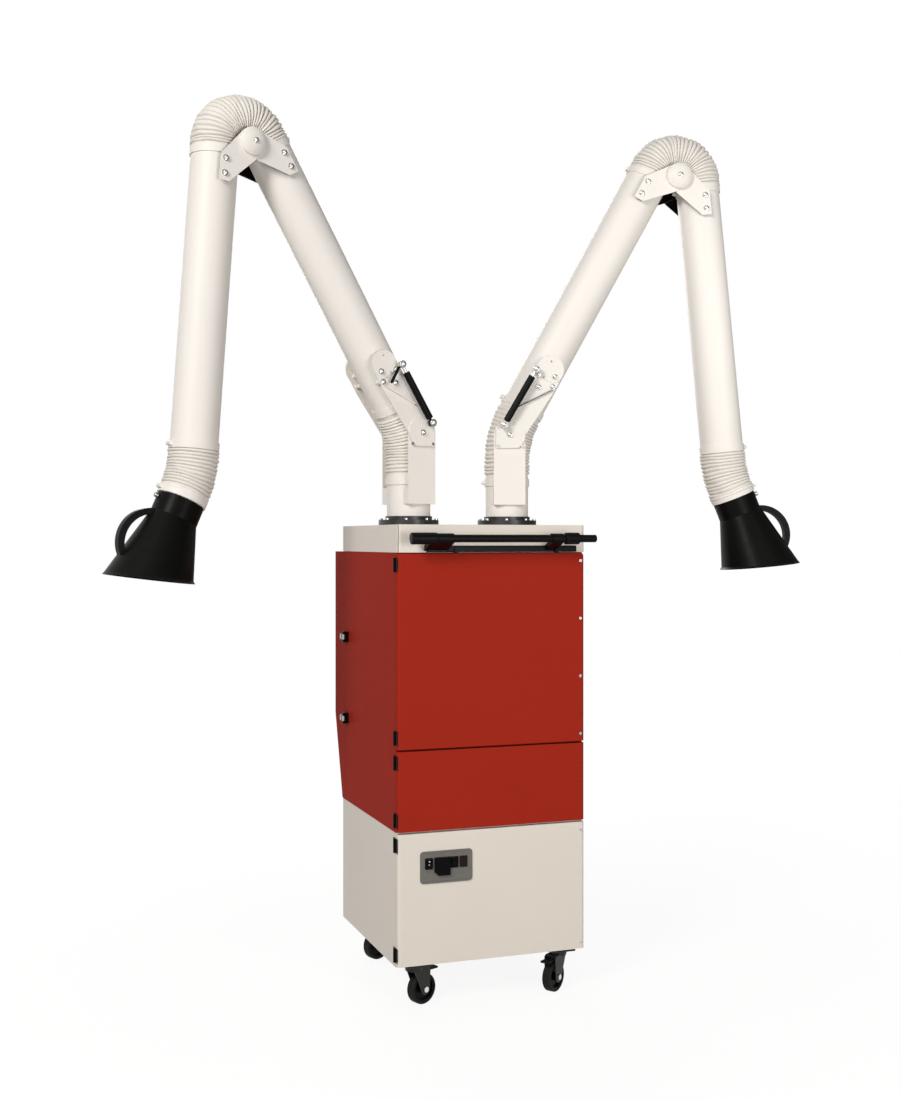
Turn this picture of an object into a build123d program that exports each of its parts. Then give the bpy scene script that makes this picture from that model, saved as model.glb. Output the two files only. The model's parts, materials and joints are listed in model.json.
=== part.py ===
from build123d import *
import os
from math import acos, atan2, ceil, cos, degrees, hypot, pi, radians, sin, sqrt, tan

# A mobile welding fume extractor: a filter cabinet on four swivel casters with two jointed arms.
# Millimetres, x to the right, y to the back, z up. The origin is on the floor under the cabinet's middle.

# Cabinet
cabinet_width = 655.0
cabinet_depth = 670.0
caster_height = 140.0
base_height = 430.0
dust_height = 264.0
filter_height = 634.0
hood_height = 90.0
edge_radius = 11.0
sheet = 2.5
door_thickness = 20.0
door_seam = 1.5
door_gap = 7.0
flange_width = 24.0

# Rear cover and the tube sheet that it closes
rear_cover_depth = 134.0
housing_depth = 615.0
taper_height = 300.0

# Hinges on the doors
hinge_leaf_width = 20.0
hinge_leaf_thickness = 2.0
hinge_leaf_height = 46.0
hinge_knuckle_radius = 4.0
hinge_pin_radius = 2.0
hinge_inset = 36.0
running_gap = 0.3
pin_gap = 0.08

# Door screws
screw_head_radius = 5.0
screw_head_height = 3.0
screw_inset = 9.5
upper_screw_spacing = 190.0
base_screw_inset = 25.0
corner_chamfer = 9.0

# Side latches
latch_height = 37.0
latch_block_length = 30.0
latch_block_depth = 10.0
latch_lever_thickness = 4.0
latch_pin_radius = 2.5
latch_drops = (307.0, 599.0)
latch_catch_depth = 6.0
latch_catch_length = 5.0
latch_reach = 52.0

# Exhaust grille in the back of the base
louvre_count = 9
louvre_width = 380.0
louvre_height = 9.0
louvre_pitch = 22.0
louvre_low = 60.0

# Push handle
bar_radius = 12.5
bar_drop = 45.0
bar_standoff = 60.0
bar_left = -302.0
bar_right = 341.0
sleeve_radius = 19.0
sleeve_length = 87.0
collar_radius = 19.5
collar_left = 229.0
collar_length = 50.0
rail_left = -229.0
rail_right = 292.0
rail_height = 21.0
rail_drop = 44.0
rail_thickness = 12.0
handle_bracket_width = 40.0
handle_bracket_left = -200.0
handle_bracket_right = 200.0
handle_bracket_thickness = 8.0
rail_knob_radius = 7.0
rail_knob_height = 9.0

# Control panel
panel_inset = 75.5
panel_width = 178.0
panel_drop = 62.0
panel_tall = 104.0
panel_radius = 12.0
panel_thickness = 3.0
rocker_width = 26.0
rocker_height = 36.0
rocker_rise = 46.5
rocker_insets = (16.0, 103.0)
rocker_depth = 9.0
rocker_tilt = 8.0
rocker_stand = 3.0
rocker_pin_radius = 1.5
bezel_rim = 2.5
bezel_depth = 3.0
module_inset = 48.0
module_width = 52.0
module_rise = 25.0
module_height = 58.0
module_depth = 9.0
module_corner = 12.0
lamp_inset = 134.0

# Filters, dust bin, fan and air tank inside the cabinet
cartridge_radius = 112.0
cartridge_bore = 68.0
cartridge_length = 470.0
cartridge_cap = 14.0
cartridge_pitch_x = 300.0
cartridge_pitch_z = 300.0
cartridge_flange_radius = 124.0
cartridge_flange = 10.0
cartridge_hole_radius = 72.0
bin_depth = 350.0
bin_height = 190.0
bin_side_gap = 30.0
bin_front_gap = 14.0
bin_wall = 3.0
bin_grip_height = 26.0
bin_grip_width = 150.0
duct_wall_y = 90.0
duct_hole_radius = 75.0
fan_y = 180.0
fan_wheel_radius = 118.0
fan_wheel_height = 80.0
fan_blades = 9
fan_blade_thickness = 3.0
fan_hub_radius = 30.0
fan_shaft_radius = 12.0
fan_disc = 3.0
fan_case_radius = 145.0
fan_case_wall = 3.0
fan_case_gap = 8.0
fan_outlet_width = 160.0
motor_radius = 85.0
motor_height = 190.0
motor_bore_depth = 62.0
gland_radius = 11.0
gland_length = 20.0
gland_x = 220.0
gland_rise = 110.0
tank_radius = 45.0
tank_length = 480.0
tank_bracket = 26.0
blow_pipe_radius = 9.0

# Casters
wheel_radius = 50.0
wheel_width = 30.0
wheel_tread_depth = 9.0
wheel_groove = 1.6
hub_radius = 14.0
hub_width = 36.0
axle_radius = 6.0
fork_thickness = 3.0
fork_gap = 38.0
fork_width = 36.0
caster_x = 255.0
caster_front_y = -280.0
caster_rear_y = 232.0
caster_trail = 32.0
caster_plate_x = 84.0
caster_plate_y = 104.0
caster_plate_thickness = 4.0
race_radius = 30.0
race_height = 14.0
king_pin_radius = 8.0
pedal_width = 32.0
pedal_length = 46.0
pedal_thickness = 4.0
pedal_pin_radius = 4.0
pedal_pivot_x = 44.0
pedal_pivot_height = 109.0
crown_thickness = 6.7
crown_radius = 28.0
nut_radius = 9.0
nut_height = 5.0
pin_head_radius = 12.0
pin_head_height = 6.0

# Roof flanges
flange_radius = 103.5
flange_height = 19.0
clamp_ring_radius = 81.0
clamp_ring_height = 13.0
flange_bore = 68.0
flange_bolt_circle = 95.0
flange_bolt_count = 8
flange_bolt_radius = 6.0
flange_bolt_height = 6.0
arm_foot_x = 182.5

# Arm tubes and hoses
tube_radius = 75.0
tube_wall = 2.0
hose_rib_radius = 79.0
hose_valley_radius = 74.0
hose_bore_radius = 71.0
hose_cuff = 28.0
shoulder_hose_straight = 20.0
wrist_hose_straight = 30.0
clamp_width = 26.0
clamp_thickness = 3.5
clamp_boss_radius = 7.0
foot_height = 152.0
shoulder_height = 316.0
shoulder_reach = 115.0
inner_length = 1087.0
elbow_offset = 85.0
elbow_reach = 40.0
outer_length = 1055.0
wrist_reach = 90.0
shoulder_rib_count = 17
elbow_rib_count = 36
wrist_rib_count = 12

# Arm plates, in three layers beside the tube
plate_thickness = 3.0
layer_inner = 80.5
foot_web_width = 5.0
foot_web_height = 57.0
spacer_radius = 7.0
washer_radius = 9.0
foot_plate_half_width = 55.0
foot_plate_low = 73.0
shoulder_disc_radius = 54.0
shoulder_cover_low = 46.0
shoulder_cover_side = 48.0
arm_disc_radius = 46.0
arm_plate_corner = (63.0, 201.0)
arm_plate_top = (15.0, 267.0)
arm_plate_top_radius = 48.0
arm_fold_start = (55.8, 209.8)
arm_fold_end = (-20.4, 99.5)
arm_fold_height = 8.0
arm_bolts = ((40.6, 254.0), (51.4, 220.0), (-14.9, 232.6), (8.0, 195.0))
arm_hole_places = ((4.6, 294.7), (7.4, 233.5))
cover_screws = ((-40.0, -38.0), (42.0, -39.0))
small_hole_radius = 3.0
bolt_radius = 7.5
bolt_height = 5.0
bolt_shank_radius = 5.0
pivot_radius = 10.0
elbow_disc_radius = 45.0
elbow_plate_points = ((-12.0, 58.0), (70.0, 142.0), (104.0, 142.0), (104.0, 60.0))
elbow_bolts = ((87.0, 72.0), (87.0, 119.0))
elbow_cap_radius = 44.5
elbow_cap_height = 20.0
elbow_cap_rim = 8.0

# Balance struts
strut_low_eye = (-23.0, 32.0)
strut_high_eye = (-30.6, 241.2)
strut_plane = 112.0
strut_radius = 12.0
strut_rod_radius = 5.0
strut_end_gap = 17.0
strut_eye_radius = 13.0
strut_eye_width = 12.0
strut_stud_radius = 4.5
strut_eye_play = 4.7
strut_cylinder_length = 178.0

# Nozzle hood
neck_length = 61.0
neck_wall = 2.5
neck_gap = 1.0
mouth_radius = 135.0
mouth_distance = 256.0
mouth_tilt = 16.5
lip_radius = 141.0
lip_length = 8.0
handle_start = (-70.0, 58.0)
handle_middle = (-147.0, 152.0)
handle_end = (-107.0, 243.0)
handle_band = 22.0
handle_width = 28.0
damper_depth = 16.0
damper_radius = 66.0
damper_thickness = 1.6
spindle_radius = 3.0
damper_knob_radius = 8.0
damper_knob_height = 12.0
collar_insert = 8.0
yoke_ring_bore = 58.0
yoke_ring_height = 5.0
yoke_offset = 58.0
yoke_thickness = 3.0
yoke_half_width = 14.0
yoke_pin_radius = 5.0

# How the two arms stand: side, foot x, turn about the foot, leans from the vertical
arm_poses = (
    ("left", -arm_foot_x, 195.0, 31.4, 4.4, 24.0),
    ("right", arm_foot_x, -15.0, 28.8, 5.5, 22.0),
)

# Caster directions: name, x and y side, direction of the trail in the plan
caster_places = (
    ("front_left", -caster_x, caster_front_y, 22.0),
    ("front_right", caster_x, caster_front_y, 216.0),
    ("rear_left", -caster_x, caster_rear_y, 22.0),
    ("rear_right", caster_x, caster_rear_y, 30.0),
)

# Worked out from the values above
half_width = cabinet_width / 2
half_depth = cabinet_depth / 2
front_y = -half_depth
seam_y = front_y + door_thickness + door_seam
rear_seam_y = front_y + door_thickness + housing_depth
base_low = caster_height
base_high = base_low + base_height
dust_high = base_high + dust_height
filter_high = dust_high + filter_height
hood_high = filter_high + hood_height
bar_height = hood_high - bar_drop
rail_low = bar_height - rail_drop
latch_heights = tuple(filter_high - drop for drop in latch_drops)
panel_left = panel_inset - half_width
panel_right = panel_left + panel_width
panel_high = base_high - panel_drop
panel_low = panel_high - panel_tall
rocker_low = panel_low + rocker_rise
rocker_lefts = tuple(panel_left + inset for inset in rocker_insets)
module_left = panel_left + module_inset
module_low = panel_low + module_rise
lamp_left = panel_left + lamp_inset
gland_height = base_low + gland_rise
layer_pitch = plate_thickness + running_gap
tube_bore = tube_radius - tube_wall
cut_over = 2 * tube_radius


# Small tools for building
def block(x_low, x_high, y_low, y_high, z_low, z_high):
    size = (x_high - x_low, y_high - y_low, z_high - z_low)
    middle = ((x_low + x_high) / 2, (y_low + y_high) / 2, (z_low + z_high) / 2)
    return Pos(*middle) * Box(*size)


def upright(x, y, z_low, z_high, radius):
    return Pos(x, y, (z_low + z_high) / 2) * Cylinder(radius, z_high - z_low)


def rod(start, end, radius):
    start, end = Vector(*start), Vector(*end)
    line = end - start
    frame = Plane(origin=start, z_dir=line.normalized())
    return frame.location * Pos(0, 0, line.length / 2) * Cylinder(radius, line.length)


def ring(z_low, z_high, outer, inner):
    return upright(0, 0, z_low, z_high, outer) - upright(0, 0, z_low, z_high, inner)


def across(x, z, y_low, y_high, radius):
    return rod((x, y_low, z), (x, y_high, z), radius)


def hull_plate(shapes, y_low, y_high):
    # A flat plate in the x-z plane round discs (x, z, r) and corners (x, z), listed in order.
    discs = [(shape[0], shape[1], shape[2] if len(shape) > 2 else 0) for shape in shapes]
    pairs = list(zip(discs, discs[1:] + discs[:1]))
    area = sum(first[0] * second[1] - second[0] * first[1] for first, second in pairs)
    outward = -1 if area > 0 else 1
    outline = []
    for (x1, z1, r1), (x2, z2, r2) in pairs:
        along = atan2(z2 - z1, x2 - x1)
        angle = along + outward * acos((r1 - r2) / hypot(x2 - x1, z2 - z1))
        for x, z, r in ((x1, z1, r1), (x2, z2, r2)):
            point = (x + r * cos(angle), z + r * sin(angle))
            if not outline or hypot(point[0] - outline[-1][0], point[1] - outline[-1][1]) > pin_gap:
                outline.append(point)
    if hypot(outline[0][0] - outline[-1][0], outline[0][1] - outline[-1][1]) < pin_gap:
        outline.pop()
    flat = make_face(Polyline(*outline, close=True))
    for x, z, r in discs:
        if r > 0:
            flat = flat + Pos(x, z) * Circle(r)
    return stand_up(flat, y_low, y_high)


def stand_up(flat, y_low, y_high):
    # Turns a sketch drawn as (x, z) into a plate between two y places.
    frame = Plane(origin=(0, y_high, 0), x_dir=(1, 0, 0), z_dir=(0, -1, 0))
    return extrude(frame.location * flat, amount=y_high - y_low)


def beside(side, low, high):
    # The y range of a layer on one side of the arm's middle plane.
    return (low, high) if side > 0 else (-high, -low)


def bolt_head(x, z, side, face, radius=bolt_radius, height=bolt_height):
    low, high = beside(side, face, face + height)
    return across(x, z, low, high, radius)


def solids_of(shape):
    return list(shape.solids())


def write(name, pieces):
    solids = []
    for piece in pieces:
        solids.extend(solids_of(piece))
    export_step(Compound(solids), os.path.join("parts", name + ".step"))


def placed(frame, pieces):
    return [frame * piece for piece in pieces]


# Cabinet shells
def open_box(y_low, y_high, z_low, z_high, open_front=True, open_back=True):
    # A sheet-metal case with a rim round each open face.
    shell = block(-half_width, half_width, y_low, y_high, z_low, z_high)
    inside_low = y_low if open_front else y_low + sheet
    inside_high = y_high if open_back else y_high - sheet
    hollow = block(
        -half_width + sheet, half_width - sheet, inside_low, inside_high, z_low + sheet, z_high - sheet
    )
    return shell - hollow


def rim(y_low, y_high, z_low, z_high):
    # The turned-in flange behind a door.
    outer = block(-half_width + sheet, half_width - sheet, y_low, y_high, z_low, z_high)
    inner = block(
        -half_width + flange_width, half_width - flange_width, y_low, y_high,
        z_low + flange_width, z_high - flange_width,
    )
    return outer - inner


def round_back_edges(shape, y_place):
    edges = shape.edges().filter_by(Axis.Z)
    edges = edges.filter_by_position(Axis.Y, y_place - sheet / 2, y_place + sheet / 2)
    return fillet([edge for edge in edges if abs(abs(edge.center().X) - half_width) < sheet / 2], edge_radius)


def make_base_housing():
    case = open_box(seam_y, half_depth, base_low, base_high, open_back=False)
    case = round_back_edges(case, half_depth)
    case = case + rim(seam_y, seam_y + sheet, base_low + sheet, base_high - sheet)
    case = case - upright(0, fan_y, base_high - 2 * sheet, base_high + sheet, duct_hole_radius)
    for row in range(louvre_count):
        low = base_low + louvre_low + row * louvre_pitch
        case = case - block(
            -louvre_width / 2, louvre_width / 2, half_depth - 2 * sheet, half_depth + sheet,
            low, low + louvre_height,
        )
    for name, x, y, trail in caster_places:
        case = case - upright(x, y, base_low - sheet, base_low + 2 * sheet, king_pin_radius + running_gap)
    cord_hole = across(gland_x, gland_height, half_depth - 2 * sheet, half_depth + sheet, gland_radius / 2)
    return [case - cord_hole]


def make_filter_housing():
    low = base_high + door_seam / 2
    case = open_box(seam_y, rear_seam_y, low, filter_high)
    case = case + rim(seam_y, seam_y + sheet, dust_high + sheet, filter_high - sheet)
    shelf = block(
        -half_width + sheet, half_width - sheet, seam_y, rear_seam_y - sheet, dust_high - sheet, dust_high
    )
    drop_hole = block(
        -half_width + bin_side_gap * 2, half_width - bin_side_gap * 2, seam_y + flange_width * 2,
        duct_wall_y - flange_width, dust_high - 2 * sheet, dust_high + sheet,
    )
    case = case + (shelf - drop_hole)
    case = case + block(
        -half_width + sheet, half_width - sheet, duct_wall_y, duct_wall_y + sheet, low, dust_high
    )
    case = case - upright(0, fan_y, low - sheet, low + 2 * sheet, duct_hole_radius)
    tube_sheet = block(
        -half_width + sheet, half_width - sheet, rear_seam_y - sheet, rear_seam_y, dust_high - sheet,
        filter_high - sheet,
    )
    for x, z in cartridge_centres():
        hole = across(x, z, rear_seam_y - 2 * sheet, rear_seam_y + sheet, cartridge_hole_radius)
        tube_sheet = tube_sheet - hole
    case = case + tube_sheet
    for x in (-arm_foot_x, arm_foot_x):
        case = case - upright(x, 0, filter_high - 2 * sheet, filter_high + sheet, flange_bore)
    return [case]


def cartridge_centres():
    middle = (dust_high + filter_high) / 2
    places = []
    for x_side in (-1, 1):
        for z_side in (-1, 1):
            places.append((x_side * cartridge_pitch_x / 2, middle + z_side * cartridge_pitch_z / 2))
    return places


def make_top_hood():
    cap = block(-half_width, half_width, front_y, half_depth, filter_high, hood_high)
    corners = cap.edges().filter_by(Axis.Z)
    cap = fillet(corners, edge_radius)
    hollow = block(
        -half_width + sheet, half_width - sheet, front_y + sheet, half_depth - sheet,
        filter_high - sheet, hood_high - sheet,
    )
    cap = cap - hollow
    for x in (-arm_foot_x, arm_foot_x):
        cap = cap - upright(x, 0, hood_high - 2 * sheet, hood_high + sheet, flange_bore)
    return [cap]


# Doors and their hinges
def door_panel(z_low, z_high, chamfered=False):
    back = seam_y - door_seam
    panel = block(-half_width, half_width, front_y, back, z_low, z_high)
    front_edges = panel.edges().filter_by(Axis.Z).group_by(Axis.Y)[0]
    panel = fillet(front_edges, edge_radius)
    hollow = block(
        -half_width + flange_width / 2, half_width - flange_width / 2, front_y + sheet, back + sheet,
        z_low + flange_width / 2, z_high - flange_width / 2,
    )
    panel = panel - hollow
    if chamfered:
        notch = Pos(half_width, 0, z_high) * Rot(0, 45, 0) * Box(
            corner_chamfer * sqrt(2), 2 * half_depth, corner_chamfer * sqrt(2)
        )
        panel = panel - notch
    return panel


def door_range(name):
    ranges = {
        "upper": (dust_high + door_gap / 2, filter_high - door_gap / 2),
        "dust": (base_high + door_gap / 2, dust_high - door_gap / 2),
        "base": (base_low + door_gap / 2, base_high - door_gap / 2),
    }
    return ranges[name]


def hinge_axis(side, y):
    return side * (half_width + hinge_knuckle_radius + running_gap), y


def hinge_pieces(side, y, z_middle, door_toward):
    # A leaf on the door and one on the case, with three knuckles round a pin.
    x_axis, y_axis = hinge_axis(side, y)
    x_inner = side * (half_width + running_gap / 2)
    x_outer = x_inner + side * hinge_leaf_thickness
    x_low, x_high = min(x_inner, x_outer), max(x_inner, x_outer)
    z_low, z_high = z_middle - hinge_leaf_height / 2, z_middle + hinge_leaf_height / 2
    third = hinge_leaf_height / 3
    moving = []
    fixed = []
    for toward, own in ((door_toward, moving), (-door_toward, fixed)):
        y_far = y_axis + toward * hinge_leaf_width
        y_near = y_axis + toward * (hinge_knuckle_radius / 2)
        leaf = block(x_low, x_high, min(y_far, y_near), max(y_far, y_near), z_low, z_high)
        own.append(leaf)
    hole_radius = hinge_pin_radius + pin_gap
    outer_room = hinge_knuckle_radius + running_gap * 2
    door_leaf, case_leaf = moving[0], fixed[0]
    middle_room = upright(
        x_axis, y_axis, z_low + third - running_gap, z_high - third + running_gap, outer_room,
    )
    door_leaf = door_leaf - middle_room
    for z_start in (z_low, z_high - third):
        knuckle = upright(x_axis, y_axis, z_start, z_start + third, hinge_knuckle_radius)
        door_leaf = door_leaf + knuckle
        case_leaf = case_leaf - upright(
            x_axis, y_axis, z_start - running_gap, z_start + third + running_gap, outer_room
        )
    door_leaf = door_leaf - upright(x_axis, y_axis, z_low, z_high, hole_radius)
    case_leaf = case_leaf + upright(
        x_axis, y_axis, z_low + third + running_gap, z_high - third - running_gap, hinge_knuckle_radius
    )
    case_leaf = case_leaf + upright(x_axis, y_axis, z_low, z_high, hinge_pin_radius)
    return door_leaf, case_leaf


def door_hinge_heights(name):
    low, high = door_range(name)
    return low + hinge_inset, high - hinge_inset


def screw(x, z):
    face = front_y
    return across(x, z, face - screw_head_height, face, screw_head_radius)


def make_door(name, screw_heights, chamfered=False):
    low, high = door_range(name)
    pieces = [door_panel(low, high, chamfered)]
    for z in door_hinge_heights(name):
        pieces.append(hinge_pieces(-1, seam_y - door_seam / 2, z, -1)[0])
    for z in screw_heights:
        pieces.append(screw(half_width - edge_radius - screw_inset / 2, z))
    return pieces


def upper_screw_heights():
    low, high = door_range("upper")
    first = low + base_screw_inset
    span = high - base_screw_inset - first
    count = ceil(span / upper_screw_spacing - 1 / 2)
    return [first + span * step / count for step in range(count + 1)]


def base_screw_heights():
    low, high = door_range("base")
    return [low + base_screw_inset, high - base_screw_inset]


def make_rear_cover():
    gap = door_seam
    y_front = rear_seam_y + gap
    y_back = rear_seam_y + rear_cover_depth
    z_low = base_high + gap
    z_high = filter_high - gap
    profile = Polyline(
        (y_front, z_low), (half_depth, z_low), (y_back, z_low + taper_height), (y_back, z_high),
        (y_front, z_high), close=True,
    )
    inner = Polyline(
        (y_front - gap, z_low - gap), (half_depth - sheet * 2, z_low - gap),
        (y_back - sheet, z_low + taper_height), (y_back - sheet, z_high - sheet),
        (y_front - gap, z_high - sheet), close=True,
    )
    frame = Plane(origin=(-half_width, 0, 0), x_dir=(0, 1, 0), z_dir=(1, 0, 0))
    shell = extrude(frame.location * make_face(profile), amount=cabinet_width)
    hollow_frame = Plane(origin=(-half_width + sheet, 0, 0), x_dir=(0, 1, 0), z_dir=(1, 0, 0))
    hollow = extrude(hollow_frame.location * make_face(inner), amount=cabinet_width - 2 * sheet)
    shell = shell - hollow
    pieces = [shell]
    for z in rear_hinge_heights():
        pieces.append(hinge_pieces(1, rear_seam_y + gap / 2, z, 1)[0])
    for z in latch_heights:
        pieces.append(latch_catch(z))
    return pieces


def rear_hinge_heights():
    return base_high + hinge_inset * 2, (base_high + filter_high) / 2, filter_high - hinge_inset * 2


def make_hinges():
    pieces = []
    for name in ("upper", "dust", "base"):
        for z in door_hinge_heights(name):
            pieces.append(hinge_pieces(-1, seam_y - door_seam / 2, z, -1)[1])
    for z in rear_hinge_heights():
        pieces.append(hinge_pieces(1, rear_seam_y + door_seam / 2, z, 1)[1])
    for z in latch_heights:
        pieces.append(latch_block(z))
    return pieces


# Side latches: a block and pin on the case, a lever, and a catch on the rear cover
def latch_axis():
    y = rear_seam_y + latch_catch_length * 2 - latch_reach
    x = -half_width - latch_block_depth - latch_pin_radius - latch_lever_thickness
    return x, y


def latch_block(z):
    x_axis, y_axis = latch_axis()
    low, high = z - latch_height / 2, z + latch_height / 2
    body = block(
        -half_width - latch_block_depth, -half_width, y_axis - latch_pin_radius * 3,
        y_axis + latch_block_length, low, high,
    )
    ears = []
    third = latch_height / 4
    for z_low in (low, high - third):
        ear = block(
            x_axis - latch_pin_radius * 2, -half_width - latch_block_depth / 2,
            y_axis - latch_pin_radius * 2, y_axis + latch_pin_radius * 2, z_low, z_low + third,
        )
        ears.append(ear)
    body = body + ears[0] + ears[1]
    return body + upright(x_axis, y_axis, low, high, latch_pin_radius)


def latch_catch(z):
    low, high = z - latch_height / 3, z + latch_height / 3
    y_low = rear_seam_y + door_seam + latch_catch_length / 2
    return block(
        -half_width - latch_catch_depth, -half_width, y_low, y_low + latch_catch_length, low, high
    )


def make_latch(z):
    x_axis, y_axis = latch_axis()
    third = latch_height / 4
    low = z - latch_height / 2 + third + running_gap
    high = z + latch_height / 2 - third - running_gap
    x_plate = -half_width - latch_block_depth - running_gap
    y_hook = rear_seam_y + door_seam + latch_catch_length * 3 / 2 + running_gap
    plate = block(x_plate - latch_lever_thickness, x_plate, y_axis, y_hook + latch_lever_thickness, low, high)
    hook = block(
        x_plate - latch_lever_thickness, -half_width - latch_catch_depth - running_gap, y_hook,
        y_hook + latch_lever_thickness, low, high,
    )
    barrel = upright(x_axis, y_axis, low, high, latch_pin_radius + latch_lever_thickness)
    grip_y = y_axis + latch_block_length / 2
    grip = block(
        x_plate - latch_lever_thickness * 3, x_plate - latch_lever_thickness, grip_y,
        grip_y + latch_block_length / 2, low, high,
    )
    lever = plate + hook + barrel + grip
    keep_out = block(
        -half_width - latch_block_depth - running_gap, half_width, y_axis - latch_reach,
        y_axis + latch_block_length + running_gap, low - running_gap, high + running_gap,
    )
    lever = lever - keep_out
    return [lever - upright(x_axis, y_axis, low - sheet, high + sheet, latch_pin_radius + pin_gap)]


# Push handle on the front of the roof hood
def make_push_handle():
    y_bar = front_y - bar_standoff
    bar = fillet(rod((bar_left, y_bar, bar_height), (bar_right, y_bar, bar_height), bar_radius).edges(),
                 bar_radius / 4)
    sleeve = sleeve_round(bar_left, sleeve_length, sleeve_radius, y_bar)
    collar = sleeve_round(collar_left, collar_length, collar_radius, y_bar)
    stub = rod((bar_left, y_bar, bar_height), (bar_left + sleeve_length, y_bar, bar_height), bar_radius)
    bar = bar - stub
    rail = block(rail_left, rail_right, front_y - rail_thickness, front_y, rail_low, rail_low + rail_height)
    rail = fillet(rail.edges().filter_by(Axis.X).group_by(Axis.Y)[0], rail_thickness / 4)
    mount = rail
    brackets = ((handle_bracket_left, handle_bracket_width * 2), (handle_bracket_right, handle_bracket_width))
    for x, width in brackets:
        mount = mount + handle_bracket(x, width, y_bar)
    clear = rod((bar_left, y_bar, bar_height), (bar_right, y_bar, bar_height), bar_radius)
    mount = mount - clear
    pieces = [bar, sleeve, collar, mount]
    knob_left = (rail_left + handle_bracket_left) / 2 + handle_bracket_width * 2
    for x in (knob_left, handle_bracket_right + sleeve_radius):
        y_face = front_y - rail_thickness
        z = rail_low - rail_knob_radius / 2
        knob = across(x, z + rail_knob_radius, y_face - rail_knob_height, y_face, rail_knob_radius)
        pieces.append(knob)
    return pieces


def sleeve_round(x_low, length, radius, y_bar):
    sleeve = rod((x_low, y_bar, bar_height), (x_low + length, y_bar, bar_height), radius)
    sleeve = fillet(sleeve.edges(), radius / 5)
    if x_low > bar_left:
        sleeve = sleeve - rod(
            (x_low - length, y_bar, bar_height), (x_low + 2 * length, y_bar, bar_height), bar_radius
        )
    return sleeve


def handle_bracket(x, width, y_bar):
    wrap = bar_radius + handle_bracket_thickness / 2
    loop = rod((x - width / 2, y_bar, bar_height), (x + width / 2, y_bar, bar_height), wrap)
    frame = Plane(origin=(x - width / 2, 0, 0), x_dir=(0, 1, 0), z_dir=(1, 0, 0))
    low = rail_low + handle_bracket_thickness / 2
    top = bar_height - bar_radius
    web = Polyline(
        (front_y - rail_thickness / 2, low), (front_y - rail_thickness / 2, rail_low + rail_height),
        (y_bar, bar_height), (y_bar - bar_radius, top), close=True,
    )
    return loop + extrude(frame.location * make_face(web), amount=width)


# Control panel on the base door
def make_control_panel():
    face = front_y
    plate = block(panel_left, panel_right, face - panel_thickness, face, panel_low, panel_high)
    plate = fillet(plate.edges().filter_by(Axis.Y), panel_radius)
    pieces = [plate]
    top = face - panel_thickness
    module = block(
        module_left, module_left + module_width, top - module_depth, top, module_low,
        module_low + module_height,
    )
    notch = Pos(module_left, 0, module_low) * Rot(0, 45, 0) * Box(
        module_corner * sqrt(2), 2 * cabinet_depth, module_corner * sqrt(2)
    )
    pieces.append(module - notch)
    for left in rocker_lefts:
        pieces.append(bezel(left, top))
        pieces.extend(rocker_ears(left, top))
    lamp = block(
        lamp_left, lamp_left + rocker_width, top - bezel_depth, top, rocker_low, rocker_low + rocker_height
    )
    pieces.append(fillet(lamp.edges().filter_by(Axis.Y), bezel_rim))
    return pieces


def bezel(left, top):
    outer = block(left, left + rocker_width, top - bezel_depth, top, rocker_low, rocker_low + rocker_height)
    outer = fillet(outer.edges().filter_by(Axis.Y), bezel_rim)
    inner = block(
        left + bezel_rim, left + rocker_width - bezel_rim, top - 2 * bezel_depth, top,
        rocker_low + bezel_rim, rocker_low + rocker_height - bezel_rim,
    )
    return outer - inner


def rocker_axis(left):
    return front_y - panel_thickness - rocker_pin_radius - running_gap, rocker_low + rocker_height / 2


def rocker_ears(left, top):
    y_axis, z_axis = rocker_axis(left)
    pin = rod(
        (left + bezel_rim, y_axis, z_axis), (left + rocker_width - bezel_rim, y_axis, z_axis),
        rocker_pin_radius,
    )
    return [pin]


def make_rocker(left):
    y_axis, z_axis = rocker_axis(left)
    rim_gap = bezel_rim + running_gap
    half = rocker_height / 2 - rim_gap
    depth = rocker_depth / 2
    reach = half * cos(radians(rocker_tilt)) - running_gap
    lift = half * sin(radians(rocker_tilt))
    outline = Polyline(
        (0, -rocker_stand / 2), (reach, -rocker_stand / 2 - lift), (reach, -rocker_stand - depth / 2 - lift),
        (0, -rocker_stand - depth / 2), (-reach, -rocker_stand - depth / 2 - lift / 3), (-reach, -lift / 8),
        close=True,
    )
    x_low = left + rim_gap
    x_high = left + rocker_width - rim_gap
    frame = Plane(origin=(x_low, y_axis + rocker_stand / 2, z_axis), x_dir=(0, 0, 1), z_dir=(-1, 0, 0))
    body = extrude(frame.location * make_face(outline), amount=-(x_high - x_low))
    body = body + rod((x_low, y_axis, z_axis), (x_high, y_axis, z_axis), rocker_pin_radius * 2)
    floor_cut = block(
        left, left + rocker_width, front_y - panel_thickness - 2 * running_gap, half_depth,
        rocker_low - rocker_height, rocker_low + 2 * rocker_height,
    )
    bore = rod((left, y_axis, z_axis), (left + rocker_width, y_axis, z_axis), rocker_pin_radius + pin_gap)
    return [body - floor_cut - bore]


# Inside the cabinet
def make_cartridges():
    pieces = []
    back = rear_seam_y - sheet
    for x, z in cartridge_centres():
        flange = across(x, z, back - cartridge_flange, back, cartridge_flange_radius)
        flange = flange - across(x, z, back - 2 * cartridge_flange, back + sheet, cartridge_bore)
        media_back = back - cartridge_flange
        media_front = media_back - cartridge_length
        media = across(x, z, media_front, media_back, cartridge_radius)
        media = media - across(x, z, media_front - sheet, media_back + sheet, cartridge_bore)
        cap = across(x, z, media_front - cartridge_cap, media_front, cartridge_radius)
        pieces.extend([flange, media, cap])
    return pieces


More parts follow.
